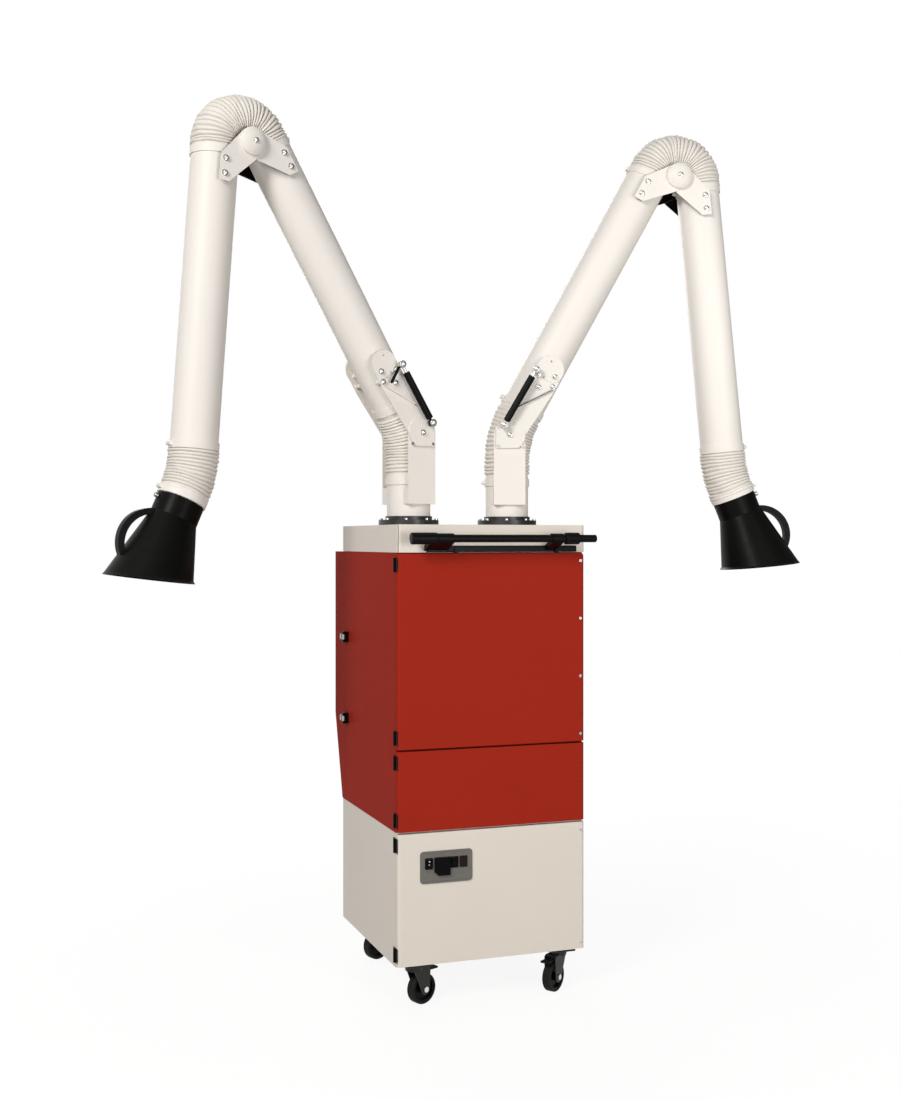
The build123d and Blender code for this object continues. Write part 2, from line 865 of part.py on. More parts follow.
def make_dust_bin():
    low = base_high + door_seam / 2 + sheet
    x_half = half_width - sheet - bin_side_gap
    y_low = seam_y + bin_front_gap
    body = block(-x_half, x_half, y_low, y_low + bin_depth, low, low + bin_height)
    body = body - block(
        -x_half + bin_wall, x_half - bin_wall, y_low + bin_wall, y_low + bin_depth - bin_wall,
        low + bin_wall, low + 2 * bin_height,
    )
    middle = low + bin_height / 2
    grip = block(
        -bin_grip_width / 2, bin_grip_width / 2, y_low - bin_front_gap / 2, y_low,
        middle, middle + bin_grip_height,
    )
    return [body + grip]


def fan_levels():
    case_top = base_high - sheet
    case_low = case_top - fan_wheel_height - 2 * fan_case_gap - 2 * fan_case_wall
    return case_low, case_top


def make_fan_unit():
    case_low, case_top = fan_levels()
    case = upright(0, fan_y, case_low, case_top, fan_case_radius)
    case = case - upright(
        0, fan_y, case_low + fan_case_wall, case_top - fan_case_wall, fan_case_radius - fan_case_wall
    )
    case = case - upright(0, fan_y, case_top - 2 * fan_case_wall, case_top + fan_case_wall, duct_hole_radius)
    case = case - block(
        -fan_outlet_width / 2, fan_outlet_width / 2, fan_y + fan_case_radius / 2, half_depth,
        case_low + 2 * fan_case_wall, case_top - 2 * fan_case_wall,
    )
    shaft_room = fan_shaft_radius + pin_gap
    case = case - upright(0, fan_y, case_low - fan_case_wall, case_low + 2 * fan_case_wall, shaft_room)
    motor = upright(0, fan_y, case_low - motor_height, case_low, motor_radius)
    motor = fillet(motor.edges().group_by(Axis.Z)[0], motor_radius / 5)
    motor = motor - upright(0, fan_y, case_low - motor_bore_depth, case_low + sheet, shaft_room)
    return [case, motor]


def make_fan_wheel():
    case_low, case_top = fan_levels()
    low = case_low + fan_case_wall + fan_case_gap
    wheel = upright(0, 0, low, low + fan_disc, fan_wheel_radius)
    wheel = wheel + upright(0, 0, low, low + fan_wheel_height / 2, fan_hub_radius)
    blade = block(
        fan_hub_radius / 2, fan_wheel_radius - fan_disc, -fan_blade_thickness / 2, fan_blade_thickness / 2,
        low, low + fan_wheel_height,
    )
    eye = upright(0, 0, low + fan_wheel_height / 2, low + 2 * fan_wheel_height, duct_hole_radius / 2)
    blade = blade - eye
    for step in range(fan_blades):
        wheel = wheel + Rot(0, 0, 360 * step / fan_blades) * blade
    shaft_low = case_low - motor_bore_depth + sheet
    wheel = wheel + upright(0, 0, shaft_low, low + fan_disc, fan_shaft_radius)
    return [Pos(0, fan_y, 0) * wheel]


def make_air_tank():
    z = (dust_high + filter_high) / 2
    y = rear_seam_y + tank_radius + tank_bracket / 2
    tank = rod((-tank_length / 2, y, z), (tank_length / 2, y, z), tank_radius)
    tank = fillet(tank.edges(), tank_radius / 3)
    for x in (-tank_length / 3, tank_length / 3):
        tank = tank + block(
            x - tank_bracket / 2, x + tank_bracket / 2, rear_seam_y, y, z - tank_bracket, z + tank_bracket
        )
    for x in (-cartridge_pitch_x / 2, cartridge_pitch_x / 2):
        reach = cartridge_pitch_z / 2 + tank_bracket
        tank = tank + upright(x, y, z - reach, z + reach, blow_pipe_radius)
    return [tank]


def make_gland():
    x, z = gland_x, gland_height
    gland = across(x, z, half_depth, half_depth + gland_length, gland_radius)
    gland = fillet(gland.edges().group_by(Axis.Y)[-1], gland_radius / 4)
    return gland - across(x, z, half_depth - sheet, half_depth + 2 * gland_length, gland_radius / 2)


# Casters
def caster_frame(place):
    name, x, y, trail = place
    return Pos(x, y, 0) * Rot(0, 0, trail)


def make_caster_plates():
    pieces = []
    low = base_low - caster_plate_thickness
    for name, x, y, trail in caster_places:
        plate = block(
            x - caster_plate_x / 2, x + caster_plate_x / 2, y - caster_plate_y / 2,
            y + caster_plate_y / 2, low, base_low,
        )
        plate = fillet(plate.edges().filter_by(Axis.Z), caster_plate_thickness)
        plate = plate + upright(x, y, low - race_height, low, race_radius)
        pin_low = low - race_height - running_gap - crown_thickness - running_gap
        plate = plate + upright(x, y, pin_low, low, king_pin_radius)
        plate = plate + upright(x, y, pin_low - pin_head_height, pin_low, pin_head_radius)
        pieces.append(plate)
    return pieces


def make_fork(place):
    name, x, y, trail = place
    crown_high = base_low - caster_plate_thickness - race_height - running_gap
    crown_low = crown_high - crown_thickness
    half_gap = fork_gap / 2
    crown = upright(0, 0, crown_low, crown_high, crown_radius)
    crown = crown + block(
        -crown_radius / 2, pedal_pivot_x, -half_gap - fork_thickness, half_gap + fork_thickness,
        crown_low, crown_high,
    )
    fork = crown
    bottom = (caster_trail, wheel_radius, fork_width / 2)
    shape = (
        bottom, (pedal_pivot_x + nut_radius, crown_low), (pedal_pivot_x, crown_high),
        (-crown_radius / 2, crown_high), (-crown_radius / 2, crown_low),
    )
    for side in (-1, 1):
        y_low, y_high = beside(side, half_gap, half_gap + fork_thickness)
        fork = fork + hull_plate(shape, y_low, y_high)
    if name.startswith("front"):
        fork = fork + across(
            pedal_pivot_x, pedal_pivot_height, -half_gap - fork_thickness, half_gap + fork_thickness,
            pedal_pin_radius,
        )
    clear = race_radius / 2
    fork = fork - upright(0, 0, crown_low - clear, crown_low, pin_head_radius + running_gap)
    fork = fork - upright(0, 0, crown_low - sheet, crown_high + sheet, king_pin_radius + pin_gap)
    hole = axle_radius + pin_gap
    fork = fork - across(caster_trail, wheel_radius, -fork_gap, fork_gap, hole)
    reach = half_gap + fork_thickness
    axle = across(caster_trail, wheel_radius, -reach - nut_height, reach + nut_height, axle_radius)
    for side in (-1, 1):
        y_low, y_high = beside(side, reach, reach + nut_height)
        axle = axle + across(caster_trail, wheel_radius, y_low, y_high, nut_radius)
    return placed(caster_frame(place), [fork, axle])


def make_wheel(place):
    centre = (caster_trail, wheel_radius)
    half = wheel_width / 2
    tyre = across(*centre, -half, half, wheel_radius)
    tyre = fillet(tyre.edges(), wheel_tread_depth / 2)
    rim_radius = wheel_radius - wheel_tread_depth
    tyre = tyre - across(*centre, -wheel_width, wheel_width, rim_radius)
    for y in (-half / 3, half / 3):
        groove = across(*centre, y - wheel_groove / 2, y + wheel_groove / 2, wheel_radius + wheel_groove)
        groove = groove - across(
            *centre, y - wheel_groove, y + wheel_groove, wheel_radius - wheel_groove
        )
        tyre = tyre - groove
    core = across(*centre, -half + wheel_groove, half - wheel_groove, rim_radius - pin_gap)
    dish = across(*centre, half / 3, wheel_width, rim_radius - wheel_tread_depth / 2)
    dish = dish - across(*centre, 0, 2 * wheel_width, hub_radius)
    core = core - dish
    core = core - dish.mirror(Plane.XZ)
    core = core + across(*centre, -hub_width / 2, hub_width / 2, hub_radius)
    core = core - across(*centre, -wheel_width, wheel_width, axle_radius + pin_gap)
    return placed(caster_frame(place), [tyre, core])


def make_pedal(place):
    half = pedal_width / 2
    pedal = across(pedal_pivot_x, pedal_pivot_height, -half, half, pedal_pin_radius * 3 / 2)
    start = pedal_pivot_x + pedal_pin_radius
    low = pedal_pivot_height - pedal_thickness / 2
    plate = block(pedal_pivot_x, start + pedal_length, -half, half, low, low + pedal_thickness)
    plate = fillet(plate.edges().filter_by(Axis.Z).group_by(Axis.X)[-1], half / 2)
    pedal = pedal + plate
    hole = pedal_pin_radius + pin_gap
    pedal = pedal - across(pedal_pivot_x, pedal_pivot_height, -pedal_width, pedal_width, hole)
    return placed(caster_frame(place), [pedal])


# Roof flanges of the arms
def make_arm_flanges():
    pieces = []
    top = flange_height + clamp_ring_height
    for pose in arm_poses:
        base = ring(0, flange_height, flange_radius, flange_bore)
        collar = ring(flange_height, top, clamp_ring_radius, tube_radius + running_gap)
        pieces.append(Pos(pose[1], 0, hood_high) * (base + collar))
    return pieces


def make_flange_bolts():
    pieces = []
    for pose in arm_poses:
        for step in range(flange_bolt_count):
            turn = 360 * (step + 1 / 2) / flange_bolt_count
            head = upright(
                flange_bolt_circle, 0, flange_height, flange_height + flange_bolt_height, flange_bolt_radius
            )
            head = chamfer(head.edges().group_by(Axis.Z)[-1], flange_bolt_height / 5)
            pieces.append(Pos(pose[1], 0, hood_high) * Rot(0, 0, turn) * head)
    return pieces


# Frames along an arm, from the roof to the nozzle
def lean_vector(angle):
    return sin(radians(angle)), cos(radians(angle))


def arm_frames(pose):
    side, foot_x, turn, lean, outer_lean, hood_lean = pose
    foot = Pos(foot_x, 0, hood_high) * Rot(0, 0, turn)
    inner = foot * Pos(0, 0, shoulder_height) * Rot(0, lean, 0)
    elbow = inner * Pos(elbow_offset, 0, inner_length)
    outer = elbow * Rot(0, 180 - outer_lean - lean, 0)
    wrist = outer * Pos(-elbow_offset, 0, outer_length) * Rot(0, outer_lean - hood_lean, 0)
    return foot, inner, outer, wrist


# Ribbed hoses, drawn along a straight run, an arc and a straight run
def hose_station(start_angle, straight, arc_radius, turn, distance):
    arc_length = arc_radius * radians(turn)
    if distance <= straight:
        angle = start_angle
        along = lean_vector(angle)
        return distance * along[0], distance * along[1], angle
    corner = lean_vector(start_angle)
    x, z = straight * corner[0], straight * corner[1]
    travelled = min(distance - straight, arc_length)
    angle = start_angle + degrees(travelled / arc_radius)
    centre_x = x + arc_radius * cos(radians(start_angle))
    centre_z = z - arc_radius * sin(radians(start_angle))
    x = centre_x - arc_radius * cos(radians(angle))
    z = centre_z + arc_radius * sin(radians(angle))
    rest = distance - straight - travelled
    along = lean_vector(angle)
    return x + rest * along[0], z + rest * along[1], angle


def ribbed_hose(first_straight, last_straight, arc_radius, turn, rib_count):
    # Drawn in the arm's middle plane, starting at zero and pointing up.
    total = first_straight + arc_radius * radians(abs(turn)) + last_straight
    flip = 1 if turn > 0 else -1
    stations = [(0, tube_radius), (hose_cuff, tube_radius)]
    pitch = (total - 2 * hose_cuff) / rib_count
    rise_shares = ((1 / 8, hose_valley_radius), (3 / 8, hose_rib_radius), (5 / 8, hose_rib_radius),
                   (7 / 8, hose_valley_radius))
    for rib in range(rib_count):
        for share, radius in rise_shares:
            stations.append((hose_cuff + (rib + share) * pitch, radius))
    stations.append((total - hose_cuff, tube_radius))
    stations.append((total, tube_radius))
    sections = []
    for distance, radius in stations:
        x, z, angle = hose_station(0, first_straight, arc_radius, abs(turn), distance)
        along = lean_vector(angle)
        frame = Plane(origin=(flip * x, 0, z), x_dir=(0, 1, 0), z_dir=(flip * along[0], 0, along[1]))
        sections.append(frame.location * Circle(radius))
    skin = loft(sections, ruled=True)
    return skin - hose_bore(first_straight, last_straight, arc_radius, turn)


def hose_bore(first_straight, last_straight, arc_radius, turn):
    flip = 1 if turn > 0 else -1
    total = first_straight + arc_radius * radians(abs(turn)) + last_straight
    x, z, angle = hose_station(0, first_straight, arc_radius, abs(turn), total)
    bore = upright(0, 0, -sheet, first_straight, hose_bore_radius)
    section = Pos(0, 0, first_straight) * Circle(hose_bore_radius)
    axis = Axis((flip * arc_radius, 0, first_straight), (0, flip, 0))
    bore = bore + revolve(section, axis, abs(turn))
    end = Pos(flip * x, 0, z) * Rot(0, flip * angle, 0)
    return bore + end * upright(0, 0, -last_straight, sheet, hose_bore_radius)


def clamp(z, side):
    # A hose clamp with its screw housing on the given side.
    inner = tube_radius + running_gap
    outer = inner + clamp_thickness
    band = ring(z - clamp_width / 2, z + clamp_width / 2, outer, inner)
    x = side * (outer + clamp_boss_radius / 2)
    lug = rod((x, -clamp_width / 2, z), (x, clamp_width / 2, z), clamp_boss_radius)
    lug = lug - upright(0, 0, z - clamp_width, z + clamp_width, (inner + outer) / 2)
    return band + lug


# Foot of an arm, turning in its roof flange
def make_foot(frame):
    tube = ring(flange_height + running_gap, foot_height, tube_radius, tube_bore)
    web_high = foot_plate_low + foot_web_height
    layer_three = layer_inner + 2 * layer_pitch
    body = tube
    room = upright(0, 0, 0, shoulder_height, tube_bore)
    for side in (-1, 1):
        low, high = beside(side, layer_inner, layer_inner + plate_thickness)
        corners = (
            (-foot_plate_half_width, foot_plate_low), (foot_plate_half_width, foot_plate_low),
            (foot_plate_half_width, shoulder_height), (0, shoulder_height, foot_plate_half_width),
            (-foot_plate_half_width, shoulder_height),
        )
        body = body + hull_plate(corners, low, high)
        for edge in (-1, 1):
            x_far = edge * foot_plate_half_width
            x_near = x_far - edge * foot_web_width
            y_low, y_high = beside(side, foot_plate_half_width / 2, layer_inner + plate_thickness)
            web = block(min(x_far, x_near), max(x_far, x_near), y_low, y_high, foot_plate_low, web_high)
            body = body + (web - room)
        cover_low, cover_high = beside(side, layer_three, layer_three + plate_thickness)
        cover = across(0, shoulder_height, cover_low, cover_high, shoulder_disc_radius)
        cover = cover + block(
            -shoulder_cover_side, shoulder_disc_radius / 2, cover_low, cover_high,
            shoulder_height - shoulder_cover_low, shoulder_height,
        )
        keep = block(
            -shoulder_cover_side, shoulder_disc_radius, cover_low, cover_high,
            shoulder_height - shoulder_cover_low, shoulder_height + shoulder_disc_radius,
        )
        cover = cover & keep
        body = body + cover
        gap_low, gap_high = beside(side, layer_inner + plate_thickness / 2, layer_three + plate_thickness / 2)
        body = body + across(0, shoulder_height, gap_low, gap_high, pivot_radius)
        for x, z in cover_screws:
            body = body + across(x, shoulder_height + z, gap_low, gap_high, bolt_shank_radius)
            body = body + bolt_head(
                x, shoulder_height + z, side, layer_three + plate_thickness, bolt_shank_radius, screw_head_height
            )
        body = body + bolt_head(0, shoulder_height, side, layer_three + plate_thickness)
        body = body + strut_stud(strut_low_eye[0], shoulder_height + strut_low_eye[1], side, layer_three)
    return placed(frame, [body, clamp(foot_height, -1)])


def strut_stud(x, z, side, layer):
    face = layer + plate_thickness / 2
    eye_near = strut_plane - strut_eye_width / 2 - running_gap
    eye_far = strut_plane + strut_eye_width / 2 + running_gap
    spacer_low, spacer_high = beside(side, face, eye_near)
    stud_low, stud_high = beside(side, face, eye_far + plate_thickness)
    head_low, head_high = beside(side, eye_far, eye_far + plate_thickness)
    stud = across(x, z, spacer_low, spacer_high, washer_radius)
    stud = stud + across(x, z, stud_low, stud_high, strut_stud_radius)
    stud = stud + across(x, z, head_low, head_high, strut_eye_radius)
    return stud + bolt_head(x, z, side, eye_far + plate_thickness)


def shoulder_tangent():
    return shoulder_reach - shoulder_hose_straight


def make_shoulder_hose(frame, lean):
    tangent = shoulder_tangent()
    arc_radius = tangent / tan(radians(lean / 2))
    first = shoulder_height - foot_height - tangent
    hose = ribbed_hose(first, shoulder_hose_straight, arc_radius, lean, shoulder_rib_count)
    return placed(frame * Pos(0, 0, foot_height), [hose])


# Inner tube and the plates bolted to it
def make_inner_tube(frame):
    low, high = shoulder_reach, inner_length - elbow_reach
    return placed(frame, [ring(low, high, tube_radius, tube_bore), clamp(low, -1), clamp(high, -1)])


def spacer(x, z, side, layer):
    low, high = beside(side, 0, layer + plate_thickness / 2)
    post = across(x, z, low, high, spacer_radius)
    return post - upright(0, 0, z - cut_over, z + cut_over, tube_radius + running_gap)


def make_inner_brackets(frame):
    layer_two = layer_inner + layer_pitch
    layer_three = layer_inner + 2 * layer_pitch
    pieces = []
    for side in (-1, 1):
        low, high = beside(side, layer_two, layer_two + plate_thickness)
        outline = ((0, 0, arm_disc_radius), arm_plate_corner, (*arm_plate_top, arm_plate_top_radius))
        plate = hull_plate(outline, low, high)
        plate = plate - across(0, 0, -cut_over, cut_over, pivot_radius + pin_gap)
        outer_face = layer_two + plate_thickness
        doubler_low, doubler_high = beside(side, outer_face, outer_face + plate_thickness)
        doubler = across(*arm_plate_top, doubler_low, doubler_high, arm_plate_top_radius)
        cut = stand_up(make_face(Polyline(
            (arm_plate_top[0] - 2 * arm_plate_top_radius, arm_fold_start[1] + clamp_width),
            (arm_plate_top[0] + 2 * arm_plate_top_radius, arm_fold_start[1] + clamp_width / 2),
            (arm_plate_top[0] + 2 * arm_plate_top_radius, 0),
            (arm_plate_top[0] - 2 * arm_plate_top_radius, 0), close=True,
        )), -cut_over, cut_over)
        plate = plate + (doubler - cut)
        fold_low, fold_high = beside(side, outer_face - plate_thickness, outer_face + arm_fold_height)
        plate = plate + fold_bar(fold_low, fold_high)
        for x, z in arm_hole_places:
            plate = plate - across(x, z, -cut_over, cut_over, small_hole_radius)
        for x, z in arm_bolts:
            plate = plate + spacer(x, z, side, layer_two)
            on_doubler = z > arm_fold_start[1] + clamp_width
            face = outer_face + (plate_thickness if on_doubler else 0)
            plate = plate + bolt_head(x, z, side, face)
        plate = plate + strut_stud(*strut_high_eye, side, layer_two)
        pieces.append(plate)
        layer = layer_three if side < 0 else layer_two
        pieces.append(elbow_plate(side, layer, elbow_offset, inner_length, -1))
    return placed(frame, pieces)


def fold_bar(y_low, y_high):
    (x1, z1), (x2, z2) = arm_fold_start, arm_fold_end
    length = hypot(x2 - x1, z2 - z1)
    turn = degrees(atan2(x2 - x1, z2 - z1))
    bar = block(-plate_thickness / 2, plate_thickness / 2, y_low, y_high, 0, length)
    return Pos(x1, 0, z1) * Rot(0, turn, 0) * bar


def elbow_plate(side, layer, pivot_x, pivot_z, down):
    # Points are measured from the elbow pin: towards the tube's axis, and along the tube.
    low, high = beside(side, layer, layer + plate_thickness)
    outline = [(pivot_x, pivot_z, elbow_disc_radius)]
    for toward, along in elbow_plate_points:
        outline.append((pivot_x - toward, pivot_z + down * along))
    plate = hull_plate(outline, low, high)
    plate = plate - across(pivot_x, pivot_z, -cut_over, cut_over, pivot_radius + pin_gap)
    for toward, along in elbow_bolts:
        x, z = pivot_x - toward, pivot_z + down * along
        middle = pivot_x - elbow_offset
        post = Pos(middle, 0, 0) * spacer(x - middle, z, side, layer)
        plate = plate + post + bolt_head(x, z, side, layer + plate_thickness)
    return plate


def make_elbow_hose(frame, turn):
    hose = ribbed_hose(elbow_reach, elbow_reach, elbow_offset, turn, elbow_rib_count)
    return placed(frame * Pos(0, 0, inner_length - elbow_reach), [hose])


def make_elbow_caps(frame):
    pieces = []
    face = layer_inner + 2 * layer_pitch + plate_thickness + running_gap
    for side in (-1, 1):
        low, high = beside(side, layer_inner, face + elbow_cap_rim)
        pin = across(0, 0, low, high, pivot_radius)
        profile = [(0, 0), (elbow_cap_radius, 0), (elbow_cap_radius, elbow_cap_rim)]
        outline = Polyline(*profile)
        dome = ThreePointArc(
            (elbow_cap_radius, elbow_cap_rim),
            (elbow_cap_radius * sin(pi / 4), (elbow_cap_rim + elbow_cap_height * 2) / 3),
            (0, elbow_cap_height),
        )
        closing = Line((0, elbow_cap_height), (0, 0))
        section = make_face(Curve() + [outline, dome, closing])
        cap = revolve(section, Axis.Y, 360)
        if side < 0:
            cap = Rot(180, 0, 0) * cap
        cap = Pos(0, side * face, 0) * cap
        bolt_low, bolt_high = beside(side, face + elbow_cap_rim, face + elbow_cap_height + bolt_height)
        bolt = across(0, 0, bolt_low, bolt_high, bolt_radius)
        pieces.append(cap + pin + bolt)
    return placed(frame * Pos(elbow_offset, 0, inner_length), pieces)


# Outer tube, hanging from the elbow
def yoke_arm(side, offset, z_ring, z_pivot):
    low, high = beside(side, offset, offset + yoke_thickness)
    arm = block(-yoke_half_width, yoke_half_width, low, high, min(z_ring, z_pivot), max(z_ring, z_pivot))
    return arm + across(0, z_pivot, low, high, yoke_half_width)


def make_outer_tube(frame):
    low, high = elbow_reach, outer_length - wrist_reach
    tube = ring(low, high, tube_radius, tube_bore)
    tube = tube + ring(high - yoke_ring_height, high, tube_radius, yoke_ring_bore)
    for side in (-1, 1):
        tube = tube + yoke_arm(side, yoke_offset, high - yoke_ring_height, outer_length)
        pin_low, pin_high = beside(side, yoke_offset, yoke_offset + 2 * yoke_thickness + running_gap)
        tube = tube + across(0, outer_length, pin_low, pin_high, yoke_pin_radius)
    return placed(frame * Pos(-elbow_offset, 0, 0), [tube, clamp(low, 1), clamp(high, -1)])


def make_outer_plates(frame):
    layer_two = layer_inner + layer_pitch
    layer_three = layer_inner + 2 * layer_pitch
    pieces = []
    for side in (-1, 1):
        layer = layer_two if side < 0 else layer_three
        pieces.append(outer_elbow_plate(side, layer))
    return placed(frame, pieces)


def outer_elbow_plate(side, layer):
    low, high = beside(side, layer, layer + plate_thickness)
    outline = [(0, 0, elbow_disc_radius)]
    for toward, along in elbow_plate_points:
        outline.append((-toward, along))
    plate = hull_plate(outline, low, high)
    plate = plate - across(0, 0, -cut_over, cut_over, pivot_radius + pin_gap)
    for toward, along in elbow_bolts:
        post = Pos(-elbow_offset, 0, 0) * spacer(elbow_offset - toward, along, side, layer)
        plate = plate + post + bolt_head(-toward, along, side, layer + plate_thickness)
    return plate


def make_wrist_hose(frame, turn):
    tangent = wrist_reach - wrist_hose_straight
    arc_radius = tangent / tan(radians(abs(turn) / 2))
    hose = ribbed_hose(wrist_hose_straight, wrist_hose_straight, arc_radius, turn, wrist_rib_count)
    start = Pos(-elbow_offset, 0, outer_length - wrist_reach)
    return placed(frame * start, [hose])


# Wrist collar, nozzle hood and damper
def make_wrist_collar(frame):
    sleeve_outer = hose_bore_radius - running_gap
    low = wrist_reach - hose_cuff - clamp_thickness * 2
    high = wrist_reach + collar_insert
    sleeve = ring(low, high, sleeve_outer, sleeve_outer - tube_wall)
    sleeve = sleeve + ring(low, low + yoke_ring_height, sleeve_outer, yoke_ring_bore)
    bearing = tube_radius - neck_wall - running_gap
    sleeve = sleeve + ring(wrist_reach + neck_gap, high, bearing, sleeve_outer - tube_wall)
    offset = yoke_offset + yoke_thickness + running_gap
    for side in (-1, 1):
        lug = yoke_arm(side, offset, low + yoke_ring_height / 2, 0)
        sleeve = sleeve + lug
    sleeve = sleeve - across(0, 0, -cut_over, cut_over, yoke_pin_radius + pin_gap)
    return placed(frame, [sleeve, clamp(wrist_reach - clamp_width / 2 - neck_gap, -1)])


def mouth_frame(extra=0.0):
    tilt = Pos(0, 0, wrist_reach + mouth_distance) * Rot(0, mouth_tilt, 0)
    return tilt * Pos(0, 0, extra)


def hood_section(z, radius):
    frame = Plane(origin=(0, 0, z), x_dir=(0, 1, 0), z_dir=(0, 0, 1))
    return frame.location * Circle(radius)


def mouth_section(extra, radius):
    return mouth_frame(extra) * Rot(0, 0, 90) * Circle(radius)


def hood_solid(wall):
    neck_low = wrist_reach + neck_gap
    neck_high = neck_low + neck_length
    low = neck_low - (sheet if wall else 0)
    body = upright(0, 0, low, neck_high, tube_radius - wall)
    throat = hood_section(neck_high, tube_radius - wall)
    cone = loft([throat, mouth_section(0, mouth_radius - wall)], ruled=True)
    flare = loft(
        [mouth_section(0, mouth_radius - wall), mouth_section(lip_length, lip_radius - wall)], ruled=True
    )
    return body + cone + flare


def hood_handle():
    chord = (handle_end[0] - handle_start[0], handle_end[1] - handle_start[1])
    length = hypot(*chord)
    along = (chord[0] / length, chord[1] / length)
    low = wrist_reach
    outer_points = [(x, low + z) for x, z in (handle_start, handle_middle, handle_end)]
    inner_points = [
        (handle_start[0] + handle_band * along[0], low + handle_start[1] + handle_band * along[1]),
        (handle_middle[0] + handle_band * along[1], low + handle_middle[1] - handle_band * along[0]),
        (handle_end[0] - handle_band * along[0], low + handle_end[1] - handle_band * along[1]),
    ]
    outer = make_face(Curve() + [ThreePointArc(*outer_points), Line(outer_points[2], outer_points[0])])
    inner = make_face(Curve() + [ThreePointArc(*inner_points), Line(inner_points[2], inner_points[0])])
    band = outer - inner
    return stand_up(band, -handle_width / 2, handle_width / 2)


def make_hood(frame):
    shell = hood_solid(0) + hood_handle()
    shell = shell - hood_solid(neck_wall)
    z = wrist_reach + neck_gap + damper_depth
    shell = shell - rod((-cut_over, 0, z), (cut_over, 0, z), spindle_radius + pin_gap)
    return placed(frame, [shell])


def make_damper(frame):
    z = wrist_reach + neck_gap + damper_depth
    blade = across(0, z, -damper_thickness / 2, damper_thickness / 2, damper_radius)
    knob_x = -tube_radius - running_gap
    spindle = rod((knob_x, 0, z), (tube_radius, 0, z), spindle_radius)
    knob = rod((knob_x - damper_knob_height, 0, z), (knob_x, 0, z), damper_knob_radius)
    knob = fillet(knob.edges(), damper_knob_radius / 4)
    return placed(frame, [blade + spindle, knob])


# Balance struts on both sides of an arm
def strut_line(lean):
    low = Vector(strut_low_eye[0], 0, strut_low_eye[1])
    sine, cosine = lean_vector(lean)
    x, z = strut_high_eye
    high = Vector(x * cosine + z * sine, 0, z * cosine - x * sine)
    return low, high, (high - low).length


def strut_frame(frame, lean):
    low, high, length = strut_line(lean)
    angle = degrees(atan2(high.X - low.X, high.Z - low.Z))
    return frame * Pos(low.X, 0, shoulder_height + low.Z) * Rot(0, angle, 0)


def make_strut_cylinders(frame, lean):
    pieces = []
    half_eye = strut_eye_width / 2
    for side in (-1, 1):
        y = side * strut_plane
        tube = upright(0, y, strut_end_gap, strut_end_gap + strut_cylinder_length, strut_radius)
        tube = fillet(tube.edges(), strut_radius / 6)
        neck = upright(0, y, 0, strut_end_gap + strut_radius, strut_rod_radius)
        eye = across(0, 0, y - half_eye, y + half_eye, strut_eye_radius)
        body = tube + neck + eye
        body = body - across(0, 0, y - strut_plane / 4, y + strut_plane / 4, strut_stud_radius + pin_gap)
        bore_low = strut_end_gap + strut_cylinder_length / 6
        bore_high = bore_low + 2 * strut_cylinder_length
        body = body - upright(0, y, bore_low, bore_high, strut_rod_radius + pin_gap)
        pieces.append(body)
    return placed(strut_frame(frame, lean), pieces)


def make_strut_rods(frame, lean):
    low, high, length = strut_line(lean)
    pieces = []
    half_eye = strut_eye_width / 2
    for side in (-1, 1):
        y = side * strut_plane
        rod_low = strut_end_gap + strut_cylinder_length / 3
        stem = upright(0, y, rod_low, length, strut_rod_radius)
        eye = across(0, length, y - half_eye, y + half_eye, strut_eye_radius)
        body = stem + eye
        play = strut_stud_radius + strut_eye_play
        pieces.append(body - across(0, length, y - strut_plane / 4, y + strut_plane / 4, play))
    return placed(strut_frame(frame, lean), pieces)


# Writing every piece
def write_cabinet():
    write("base_housing", make_base_housing() + [make_gland()])
    write("filter_housing", make_filter_housing())
    write("top_hood", make_top_hood())
    write("upper_door", make_door("upper", upper_screw_heights(), chamfered=True))
    write("dust_door", make_door("dust", []))
    write("base_door", make_door("base", base_screw_heights()))
    write("rear_cover", make_rear_cover())
    write("hinges", make_hinges())
    for name, z in zip(("latch_upper", "latch_lower"), latch_heights):
        write(name, make_latch(z))
    write("push_handle", make_push_handle())
    write("control_panel", make_control_panel())
    for name, left in zip(("rocker_1", "rocker_2"), rocker_lefts):
        write(name, make_rocker(left))
    write("filter_cartridges", make_cartridges())
    write("dust_bin", make_dust_bin())
    write("fan_wheel", make_fan_wheel())
    write("fan_unit", make_fan_unit())
    write("air_tank", make_air_tank())


def write_casters():
    write("caster_plates", make_caster_plates())
    for place in caster_places:
        write("fork_" + place[0], make_fork(place))
        write("wheel_" + place[0], make_wheel(place))
        if place[0].startswith("front"):
            write("pedal_" + place[0], make_pedal(place))


def write_arm(pose):
    side, foot_x, turn, lean, outer_lean, hood_lean = pose
    foot, inner, outer, wrist = arm_frames(pose)
    write(side + "_foot", make_foot(foot))
    write(side + "_shoulder_hose", make_shoulder_hose(foot, lean))
    write(side + "_strut_cylinders", make_strut_cylinders(foot, lean))
    write(side + "_strut_rods", make_strut_rods(foot, lean))
    write(side + "_inner_tube", make_inner_tube(inner))
    write(side + "_inner_brackets", make_inner_brackets(inner))
    write(side + "_elbow_hose", make_elbow_hose(inner, 180 - outer_lean - lean))
    write(side + "_elbow_caps", make_elbow_caps(inner))
    write(side + "_outer_tube", make_outer_tube(outer))
    write(side + "_outer_plates", make_outer_plates(outer))
    write(side + "_wrist_hose", make_wrist_hose(outer, outer_lean - hood_lean))
    write(side + "_wrist_collar", make_wrist_collar(wrist))
    write(side + "_hood", make_hood(wrist))
    write(side + "_damper", make_damper(wrist))


os.makedirs("parts", exist_ok=True)
write_cabinet()
write_casters()
write("arm_flanges", make_arm_flanges())
write("flange_bolts", make_flange_bolts())
for pose in arm_poses:
    write_arm(pose)
